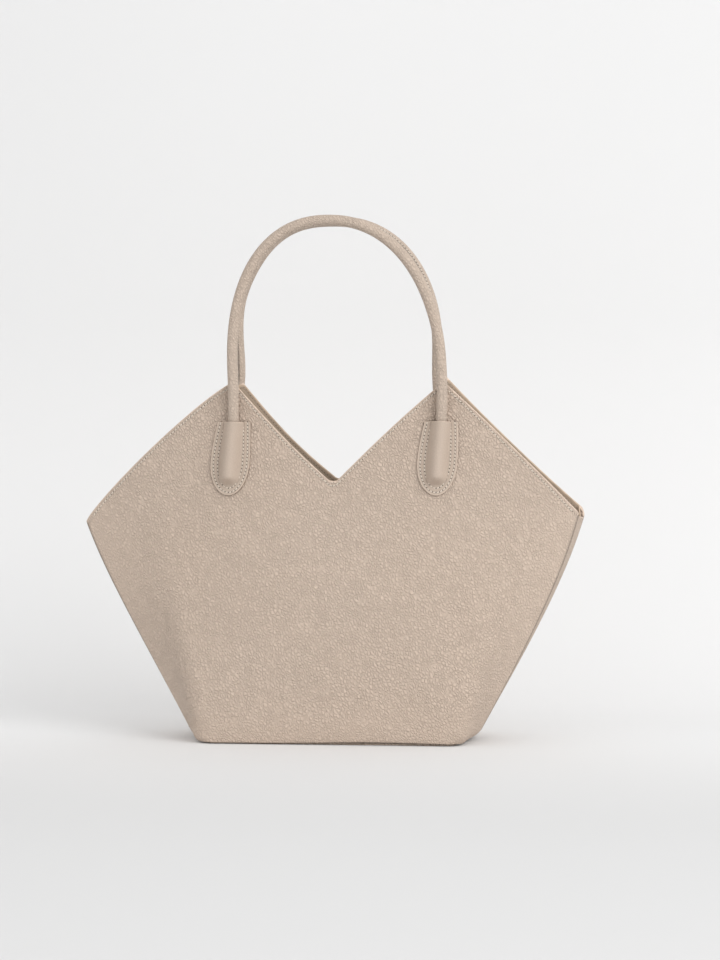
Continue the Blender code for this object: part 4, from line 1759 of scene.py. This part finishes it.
@dataclass
class Inside:
    """Facings, linings, pocket and patches.

    Attributes:
        layer_depth: Depth of a facing's outer face away from the edge.
        tuck: How far a lining reaches behind its facing.
        seam_inset: Distance of the pocket's stitches from its sides.
        wall_seam: Distance of the linings' stitches from the facings' lower edges.
    """

    body: Body
    finishes: Finishes
    stitches: StitchTree
    facing_height: float = 0.040
    facing_thickness: float = 0.0010
    facing_gap: float = 0.0002
    layer_depth: float = 0.0043
    lining_start: float = 0.0040
    lining_thickness: float = 0.0006
    lining_gap: float = 0.0004
    crumple: float = 0.0007
    tuck: float = 0.0020
    pocket_width: float = 0.130
    pocket_top: float = 0.165
    pocket_bottom: float = 0.060
    pocket_thickness: float = 0.0009
    pocket_gap: float = 0.0003
    pocket_slack: float = 0.0035
    hem: float = 0.014
    hem_seam: float = 0.012
    seam_inset: float = 0.003
    wall_seam: float = 0.0025
    patch_width: float = 0.040
    patch_length: float = 0.074
    patch_thickness: float = 0.0008

    def strip_point(self, end: End, z: float, side: Side, depth: float) -> Vector:
        """Point of an inner layer behind a side strip, on the middle plane.

        Args:
            end: End of the bag.
            z: Height.
            side: Side of the bag.
            depth: Depth under the outer face.

        Returns:
            The point.
        """
        form, share, step = self.body.form, float(end.value), 0.004
        low, high = (form.point(share, form.rise(height, share, side), side)
                     for height in (max(form.floor_z, z - step), z + step))
        run = high - low
        normal = Vector((-end.value * run.z, 0.0, end.value * run.x)).normalized()
        point = (low + high) / 2 + normal * depth
        return Vector((point.x, side.value * 0.0001, point.z))

    def layer_sheet(self, side: Side, bottom: Callable[[float], float],
                    top: Callable[[float], float], count: int, depth: Depth) -> Sheet:
        """Inner layer of one side that runs on behind the strips.

        Args:
            side: Side of the bag.
            bottom: Height of its lower edge at a share.
            top: Height of its upper edge at a share.
            count: Number of rows.
            depth: Depth under the outer face at a share and a height.

        Returns:
            The sheet.
        """
        body, form = self.body, self.body.form
        reach = 1 - 2 * body.thickness / form.half
        shares = [share for share in body.shares()[::2] if abs(share) < reach - 0.004]
        rows = []
        for part in (eased(i, count) for i in range(count + 1)):
            row, ends = [], []
            for share in (-reach, *shares, reach):
                z = lerp(bottom(share), top(share), part)
                point = form.layer(share, form.rise(z, share, side), side, depth(share, z))
                to_top = (form.top(share, side) - z) / body.slant
                row.append((point, to_top, to_top, 1.0))
            for end in End:
                share = float(end.value)
                highest = form.top(share, side) * body.strip_rise - self.tuck
                z = lerp(bottom(share), min(top(share), highest), part)
                ends.append(self.strip_point(end, z, side, depth(share, z)))
            rows.append([(ends[0], *row[0][1:]), *row, (ends[1], *row[-1][1:])])
        return Sheet.marked(rows, "edge", "seam_distance", "joint")

    def build_facing(self, side: Side) -> Piece:
        """Builds and places the leather band inside the mouth.

        Args:
            side: Side of the bag.

        Returns:
            The facing.
        """
        body, form = self.body, self.body.form

        def depth(share: float, z: float) -> float:
            """Depth of its outer face: against the panel at the edge, then free of it."""
            away = (form.top(share, side) - z) / body.slant
            against = body.thickness + self.facing_gap
            free = smooth((away - 0.003) / 0.012)
            return lerp(against, self.layer_depth, free) + body.turned(away) * 0.5

        sheet = self.layer_sheet(side, lambda share: form.top(share, side) - self.facing_height,
                                 lambda share: form.top(share, side), 26, depth)
        piece = shell(f"{side.label}_leather_facing", sheet, side, self.facing_thickness,
                      self.finishes.facing, rounding=0.0003)
        return fit(piece, Slot.LEATHER, f"{side.label}_facing")

    def build_lining(self, side: Side) -> Piece:
        """Builds and places the cloth lining of one side, which tucks behind the facing.

        Args:
            side: Side of the bag.

        Returns:
            The lining.
        """
        form = self.body.form

        def top(share: float) -> float:
            """Height of its upper edge."""
            return form.top(share, side) - self.facing_height + self.tuck

        def depth(share: float, z: float) -> float:
            """Depth of its outer face, with small waves."""
            tucked = smooth((z - top(share) + 3 * self.tuck) / (2 * self.tuck))
            wave = self.crumple * sin(38 * share + 60 * z) * sin(90 * z + 5 * share)
            free = self.layer_depth + self.lining_gap + abs(wave)
            return lerp(free, self.layer_depth - self.lining_thickness - 0.0003, tucked)

        sheet = self.layer_sheet(side, lambda share: form.base_thickness + self.lining_start, top,
                                 60, depth)
        piece = shell(f"{side.label}_cloth_lining", sheet, side, self.lining_thickness,
                      self.finishes.lining)
        fit(piece, Slot.LINING, f"{side.label}_lining")
        sheet.size()
        sheet.area()
        return piece

    def build_base_lining(self) -> Piece:
        """Builds and places the cloth over the base board.

        Returns:
            The lining.
        """
        form, (low, high) = self.body.form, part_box("base_lining")
        width, depth = high.x - low.x, high.y - low.y
        corner = form.corner_radius - (form.base_width / 2 - high.x)
        rows = []
        for y in (lerp(low.y, high.y, i / 24) for i in range(25)):
            cut = max(0.0, abs(y) - (depth / 2 - corner))
            half = width / 2 - corner + sqrt(max(0.0, corner ** 2 - cut ** 2))
            across = [lerp(-half, half, j / 48) for j in range(49)]
            rows.append([Vector((x, y, high.z - 0.0002 + 0.0003 * sin(60 * x) * cos(75 * y)))
                         for x in across])
        sheet = Sheet(rows)
        piece = shell("base_cloth_lining", sheet, Side.FRONT, self.lining_thickness,
                      self.finishes.lining)
        fit(piece, Slot.LINING, "base_lining")
        return piece

    def cut(self, x: float, bottom: float, width: float, length: float, side: Side, depth: Depth,
            counts: tuple[int, int]) -> Sheet:
        """Rectangle of cloth on a layer of the body.

        Args:
            x: Middle of the rectangle.
            bottom: Height of its lower edge.
            width: Its width.
            length: Its height.
            side: Side of the bag.
            depth: Depth under the outer face at a place across and a height.
            counts: Numbers of columns and rows.

        Returns:
            The sheet.
        """
        form, rows = self.body.form, []
        places = [x + lerp(-width / 2, width / 2, j / counts[0]) for j in range(counts[0] + 1)]
        for z in (bottom + length * i / counts[1] for i in range(counts[1] + 1)):
            rows.append([form.layer(*form.find(place, z, side), side, depth(place, z))
                         for place in places])
        return Sheet(rows)

    def build_patch(self, side: Side, end: End, tabs: Tabs) -> Piece:
        """Builds and places the reinforcement behind a tab.

        Args:
            side: Side of the bag.
            end: End of the bag.
            tabs: The tabs.

        Returns:
            The patch.
        """
        bottom = tabs.shape.top - tabs.shape.length / 2 - self.patch_length / 2
        sheet = self.cut(tabs.leg_x(end), bottom, self.patch_width, self.patch_length, side,
                         lambda x, z: self.body.thickness + 0.0004, (12, 16))
        name = f"{side.label}_{end.label}"
        piece = shell(f"{name}_cloth_patch", sheet, side, self.patch_thickness,
                      self.finishes.patch)
        fit(piece, Slot.PATCH, f"{name}_patch")
        sheet.size()
        return piece

    def pocket_depth(self, x: float, z: float) -> float:
        """Depth of the pocket's face towards the lining, with its slack and its hem."""
        rise = (z - self.pocket_bottom) / (self.pocket_top - self.pocket_bottom)
        slack = self.pocket_slack * (1 - (2 * x / self.pocket_width) ** 2) * smooth(rise * 1.6)
        folded = 0.0007 if z > self.pocket_top - self.hem else 0.0
        wall = self.layer_depth + self.lining_gap + self.crumple + self.lining_thickness
        return wall + self.pocket_gap + max(0.0, slack) + folded

    def build_pocket(self) -> Piece:
        """Builds and places the slip pocket with its hem.

        Returns:
            The pocket.
        """
        sheet = self.cut(0.0, self.pocket_bottom, self.pocket_width,
                         self.pocket_top - self.pocket_bottom, Side.BACK, self.pocket_depth,
                         (44, 54))
        piece = shell("slip_pocket_cloth", sheet, Side.BACK, self.pocket_thickness,
                      self.finishes.lining)
        fit(piece, Slot.LINING, "slip_pocket")
        sheet.size()
        return piece

    def build_stitches(self) -> Piece:
        """Builds and places the stitches of the pocket, its hem and the facings' lower edges.

        Returns:
            The stitches.
        """
        form, half = self.body.form, self.pocket_width / 2 - self.seam_inset
        top, bottom = self.pocket_top, self.pocket_bottom + self.seam_inset
        hem = top - self.hem_seam
        lines = [self.pocket_line([(-half, top), (-half, bottom), (half, bottom), (half, top)]),
                 self.pocket_line([(-half, hem), (half, hem)])]
        for side in Side:
            places = [(share, form.top(share, side) - self.facing_height + self.wall_seam)
                      for share in self.body.shares()[10:-10]]
            lines.append([form.seam_at(share, form.rise(z, share, side), side,
                                       self.layer_depth + self.facing_thickness)
                          for share, z in places])
        threads = self.stitches.run("lining_stitches", lines, self.finishes.inner_thread,
                                    Pitch=0.0031, Stitch_Length=0.0024)
        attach(threads, BAG)
        return threads

    def pocket_line(self, corners: Sequence[tuple[float, float]], spacing: float = 0.004) -> Line:
        """Row of stitches on the pocket through corners given across and up.

        Args:
            corners: The corners.
            spacing: Distance between its points.

        Returns:
            The row.
        """
        form, line = self.body.form, []
        for (x0, z0), (x1, z1) in zip(corners, corners[1:]):
            steps = max(2, int(hypot(x1 - x0, z1 - z0) / spacing))
            for i in range(steps):
                x, z = lerp(x0, x1, i / steps), lerp(z0, z1, i / steps)
                line.append(form.seam_at(*form.find(x, z, Side.BACK), Side.BACK,
                                         self.pocket_depth(x, z) + self.pocket_thickness))
        return line

    def build(self, tabs: Tabs) -> list[Piece]:
        """Builds everything inside the shell."""
        return [*map(self.build_facing, Side), *map(self.build_lining, Side),
                self.build_base_lining(),
                *(self.build_patch(side, end, tabs) for side in Side for end in End),
                self.build_pocket(), self.build_stitches()]


# Handles


@dataclass
class RolledHandle:
    """A rolled leather handle over its cord, with its ends under two tabs.

    Attributes:
        lean_power: How late the lean sets in.
        arch_power: Fullness of the arch.
        shift: Sideways step of both legs just over the tabs.
        spread: Outward step of each leg just over the tabs.
        bends: Soft bends of the legs: climb over the tabs, shift of the left and of the right leg.
        guide_share: Where the direction of the legs is taken, from the tabs' top to the peaks.
        seam_turn: Turn of the seam to the outer side of the arch.
        first_stitch: Points without stitches at each end.
    """

    side: Side
    tabs: Tabs
    top: float
    sway: float
    lean_power: float
    arch_power: float
    shift: float
    spread: float
    bends: tuple[tuple[float, float, float], ...]
    bend_reach: float = 0.03
    leg_top: float = 0.345
    step_length: float = 0.035
    guide_share: float = 0.8
    steps: int = 150
    leg_steps: int = 32
    end_steps: int = 16
    end_sink: float = 0.0022
    gap: float = 0.0010
    bend_length: float = 0.014
    seam_turn: float = -0.08
    core_share: float = 0.72
    lap: float = 0.0006
    thread_rise: float = 0.00045
    stitch_inset: ClassVar[float] = 0.0024
    first_stitch: ClassVar[int] = 30

    def rope_centre(self, end: End, z: float) -> Vector:
        """Middle of the handle over the panel at a height."""
        form = self.tabs.body.form
        share, rise = form.find(self.tabs.leg_x(end), z, Side.FRONT)
        point = form.layer(share, rise, Side.FRONT, -(self.tabs.rope_radius + self.gap))
        return Vector((point.x, -self.side.value * point.y, point.z))

    def start(self) -> Aimed:
        """Point between the legs at the tabs' top, and the direction that the legs rise in.

        Returns:
            The point and the direction.
        """
        low = self.tabs.shape.top
        high = lerp(low, self.tabs.body.form.peak, self.guide_share)
        start, guide = ((self.rope_centre(End.LEFT, z) + self.rope_centre(End.RIGHT, z)) / 2
                        for z in (low, high))
        rising = guide - start
        rising.x = 0.0
        start.x = (self.tabs.leg_x(End.LEFT) + self.tabs.leg_x(End.RIGHT)) / 2
        return start, rising.normalized()

    def line(self) -> list[Vector]:
        """Middle line from one end under its tab, over the arch, to the other end.

        Returns:
            The points.
        """
        start, rising = self.start()
        half, power = self.tabs.leg_spacing / 2, 2 / self.arch_power
        leg = (self.leg_top - self.tabs.shape.top) / rising.z
        arch = (self.top - self.leg_top) / rising.z
        places = [(-half, leg * i / self.leg_steps) for i in range(self.leg_steps)]
        for angle in (pi * (1 - i / self.steps) for i in range(self.steps + 1)):
            across = half * abs(cos(angle)) ** power
            places.append((across if cos(angle) > 0 else -across, leg + arch * sin(angle) ** power))
        places += [(half, leg * i / self.leg_steps) for i in reversed(range(self.leg_steps))]
        line = []
        for across, climb in places:
            lean = self.sway * (climb / (leg + arch)) ** self.lean_power
            lean += smooth(climb / self.step_length) * (self.shift + self.spread * across / half)
            for height, left, right in self.bends:
                lean += (left if across < 0 else right) * hump(climb, height, self.bend_reach)
            line.append(start + Vector((across + lean, 0.0, 0.0)) + rising * climb)
        line = [*self.under_tab(End.LEFT, line[0])[::-1], *line,
                *self.under_tab(End.RIGHT, line[-1])]
        return line if self.side is Side.FRONT else line[::-1]

    def under_tab(self, end: End, joint: Vector) -> list[Vector]:
        """Points of the end under a tab, from the top of the tab down.

        Args:
            end: End of the bag.
            joint: Point at the tab's top.

        Returns:
            The points.
        """
        shape, points = self.tabs.shape, []
        for i in range(1, self.end_steps + 1):
            drop = shape.cover_length * i / self.end_steps
            point = self.rope_centre(end, shape.top - drop)
            point.x = joint.x + shape.middle(drop)
            sunk = smooth((drop - 0.7 * shape.cover_length) / (0.3 * shape.cover_length))
            point.y -= self.side.value * self.end_sink * sunk
            points.append(point)
        return points

    def seam(self, line: Sequence[Vector], angle: float) -> list[Vector]:
        """Directions that face the bag's middle, turned to the arch's outer side by an angle."""
        facing, normals = Vector((0.0, -self.side.value, 0.0)), []
        for before, after in zip([line[0], *line], [*line[1:], line[-1]]):
            along = (after - before).normalized()
            out = (facing - along * facing.dot(along)).normalized()
            normals.append(out * cos(angle) + along.cross(out) * sin(angle))
        return normals

    def seam_row(self, line: Sequence[Vector]) -> Line:
        """Row of stitches beside the lap."""
        radius, sewn = self.tabs.rope_radius, slice(self.first_stitch, -self.first_stitch)
        normals = self.seam(line, self.seam_turn + self.stitch_inset / radius)
        return [(point + normal * (radius + self.thread_rise), normal)
                for point, normal in zip(line[sewn], normals[sewn])]

    def build(self, rolls: RollTree, stitches: StitchTree, finishes: Finishes) -> list[Piece]:
        """Builds and places the handle, its cord and its stitches.

        Args:
            rolls: The tube tree.
            stitches: The stitch tree.
            finishes: Materials.

        Returns:
            The pieces.
        """
        label, radius, low = self.side.label, self.tabs.rope_radius, self.tabs.pivot_z
        line = self.line()
        rolled = list(zip(line, self.seam(line, self.seam_turn)))
        cover = rolls.run(f"{label}_rolled_handle", [rolled], finishes.handle, Radius=radius,
                          Lap=self.lap)
        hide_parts(f"{label}_handle_cover", *(f"{label}_{end.label}_handle_end"
                                                      for end in End))
        inner = rolled[self.end_steps:-self.end_steps]
        core = rolls.run(f"{label}_handle_cord", [inner], finishes.cord,
                         Radius=radius * self.core_share, Lap=0.0)
        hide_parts(f"{label}_handle_core")
        threads = stitches.run(f"{label}_handle_stitches", [self.seam_row(line)], finishes.thread,
                               Pitch=0.0034, Stitch_Length=0.0026, Thread_Radius=0.0004)
        for piece in (cover, core, threads):
            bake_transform(piece)
        return [cover, core, threads]


# Stiff pieces that keep their solids


@dataclass
class Fittings:
    """Board, snap and washers of the frame, with their finishes."""

    frame: dict
    finishes: Finishes
    metal: ClassVar[tuple[str, ...]] = ("snap_socket", "snap_stud", "front_snap_washer",
                                        "back_snap_washer")

    def build(self) -> list[Piece]:
        """Dresses the nodes that stay.

        Returns:
            The pieces.
        """
        finishes = {"base_board": self.finishes.board,
                    **dict.fromkeys(self.metal, self.finishes.metal)}
        pieces = [self.frame["nodes"][name] for name in finishes]
        for piece, finish in zip(pieces, finishes.values()):
            piece.data.materials.clear()
            piece.data.materials.append(finish)
        return pieces


# Studio


@dataclass
class Studio:
    """Pale floor that turns up into a wall, a soft lamp and the camera.

    Attributes:
        yaw: Turn of the camera round the bag, towards its right end, in degrees.
        pixel: Real width of a pixel at that distance.
        shift_right: How far the bag's middle is left of the picture's middle, in pixels.
        floor_tone: Colour of the paper near the camera.
        wall_tone: Colour of the paper behind the bag.
        tone_run: Where the one passes into the other, along Y, which paints the floor round the bag
            paler, as painted light over its shade.
        left_painted_light: How much lighter the paper is painted to the left of the bag, away from
            the lamp, as painted light over the bag's shadow.
        painted_light_run: Where that begins and is full, along X.
    """

    yaw: float = 5.5
    distance: float = 1.90
    eye: float = 0.2415
    pixel: float = 0.000938
    image_height: int = 960
    shift_right: float = 24.5
    wall: float = 0.62
    wall_height: float = 3.0
    cove: float = 0.45
    cove_steps: int = 24
    paper: float = 9.0
    floor_tone: float = 0.662
    wall_tone: float = 0.793
    tone_run: tuple[float, float] = (-0.5, 0.10)
    left_painted_light: float = 1.045
    painted_light_run: tuple[float, float] = (0.45, -0.25)
    lamp_place: tuple[float, float, float] = (1.65, -1.6, 1.35)
    lamp_target: tuple[float, float, float] = (0.0, 0.0, 0.20)
    lamp_size: float = 1.5
    lamp_power: float = 27.5
    air: float = 0.935

    def paper_material(self) -> Material:
        """Matt paper that is painted paler behind the bag and to its left, as painted light over
        the shade round it, and clear to the camera from behind.

        Returns:
            The material.
        """
        material, nodes, shader = principled("studio_paper",
                                             {"Roughness": 0.9, "Specular IOR Level": 0.1})
        place = nodes.parts(nodes.place())
        # Painted light: the paper's colour is raised round the bag and to its left, over the shade
        # there.
        tone = nodes.ramp(place["Y"], *self.tone_run, self.floor_tone, self.wall_tone)
        painted_lift = nodes.ramp(place["X"], *self.painted_light_run, 1.0, self.left_painted_light)
        seen_behind = nodes.times(nodes.out("ShaderNodeNewGeometry", "Backfacing"),
                                  nodes.out("ShaderNodeLightPath", "Is Camera Ray"))
        nodes.feed(shader, "Base Color", nodes.times(tone, painted_lift))
        nodes.feed(shader, "Alpha", nodes.math("SUBTRACT", 1.0, seen_behind))
        return material

    def build_floor(self) -> None:
        """Builds the floor and the wall behind as one swept sheet."""
        front, foot = -self.paper, self.wall - self.cove
        angles = [i / self.cove_steps * pi / 2 for i in range(1, self.cove_steps + 1)]
        sweep = [(foot + self.cove * sin(angle), self.cove * (1 - cos(angle))) for angle in angles]
        profile = [(front, 0.0), (foot, 0.0), *sweep, (self.wall, self.wall_height)]
        rows = [[Vector((x, y, z)) for x in (-self.paper, self.paper)] for y, z in profile]
        mesh = Sheet(rows).mesh("studio_floor", self.paper_material())
        mesh.shade_smooth()
        add_object("studio_floor", mesh)

    def build_lights(self) -> None:
        """Adds the lamp and the soft light all round."""
        light = bpy.data.lights.new("key_lamp", "AREA")
        light.shape = "SQUARE"
        light.size = self.lamp_size
        light.energy = self.lamp_power
        lamp = bpy.data.objects.new("key_lamp", light)
        lamp.location = self.lamp_place
        aim = Vector(self.lamp_target) - Vector(self.lamp_place)
        lamp.rotation_euler = aim.to_track_quat("-Z", "Y").to_euler()
        bpy.context.scene.collection.objects.link(lamp)
        world = bpy.data.worlds.new("studio_air")
        world.use_nodes = True
        air = next(node for node in world.node_tree.nodes if node.type == "BACKGROUND")
        air.inputs["Color"].default_value = (1.0, 1.0, 1.0, 1.0)
        air.inputs["Strength"].default_value = self.air
        bpy.context.scene.world = world

    def build_camera(self) -> None:
        """Adds the camera at the photograph's angle."""
        yaw = radians(self.yaw)
        right, back = Vector((cos(yaw), sin(yaw), 0.0)), Vector((sin(yaw), -cos(yaw), 0.0))
        lens = bpy.data.cameras.new("studio_camera")
        lens.sensor_fit = "VERTICAL"
        lens.sensor_height = 36.0
        lens.lens = self.distance / self.pixel / self.image_height * lens.sensor_height
        camera = bpy.data.objects.new("studio_camera", lens)
        aim = Vector((0.0, 0.0, self.eye)) + right * self.shift_right * self.pixel
        camera.location = aim + back * self.distance
        camera.rotation_euler = (radians(90), 0.0, yaw)
        bpy.context.scene.collection.objects.link(camera)
        bpy.context.scene.camera = camera

    def build(self) -> None:
        """Builds the studio."""
        self.build_floor()
        self.build_lights()
        self.build_camera()
        bpy.context.scene.view_settings.view_transform = "Standard"


def report(pieces: Iterable[Piece]) -> None:
    """Logs the size of each piece."""
    for piece in pieces:
        LOG.info("%s: %d faces", piece.name, len(piece.data.polygons))


def main() -> None:
    """Builds the bag round its frame, and the studio."""
    logging.basicConfig(level=logging.INFO, format="%(message)s")
    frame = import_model()
    finishes = Finishes(Effects())
    stitches, rolls = StitchTree(), RollTree()
    body = Body(BagForm.from_frame(), finishes)
    report(body.build())
    tab_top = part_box("front_left_tab")[1].z
    tabs = Tabs(body, finishes, stitches, TabShape(top=tab_top - 0.0028), pivot_z=tab_top)
    report(tabs.build())
    inside = Inside(body, finishes, stitches)
    report(inside.build(tabs))
    report(TopStitch(body, stitches, finishes).build(
        body.thickness + inside.facing_gap + inside.facing_thickness))
    handles = (
        RolledHandle(Side.FRONT, tabs, top=0.4808, sway=-0.0088, lean_power=1.5, arch_power=2.2,
                     shift=0.0004, spread=0.0, bends=((0.030, 0.0, 0.0012), (0.075, 0.0, 0.0008))),
        RolledHandle(Side.BACK, tabs, top=0.4887, sway=-0.0058, lean_power=4.0, arch_power=2.39,
                     shift=-0.0066, spread=0.0013,
                     bends=((0.052, 0.0034, -0.0020), (0.120, -0.0025, 0.0))),
    )
    for handle in handles:
        report(handle.build(rolls, stitches, finishes))
    report(Fittings(frame, finishes).build())
    Studio().build()


if __name__ == "__main__":
    main()
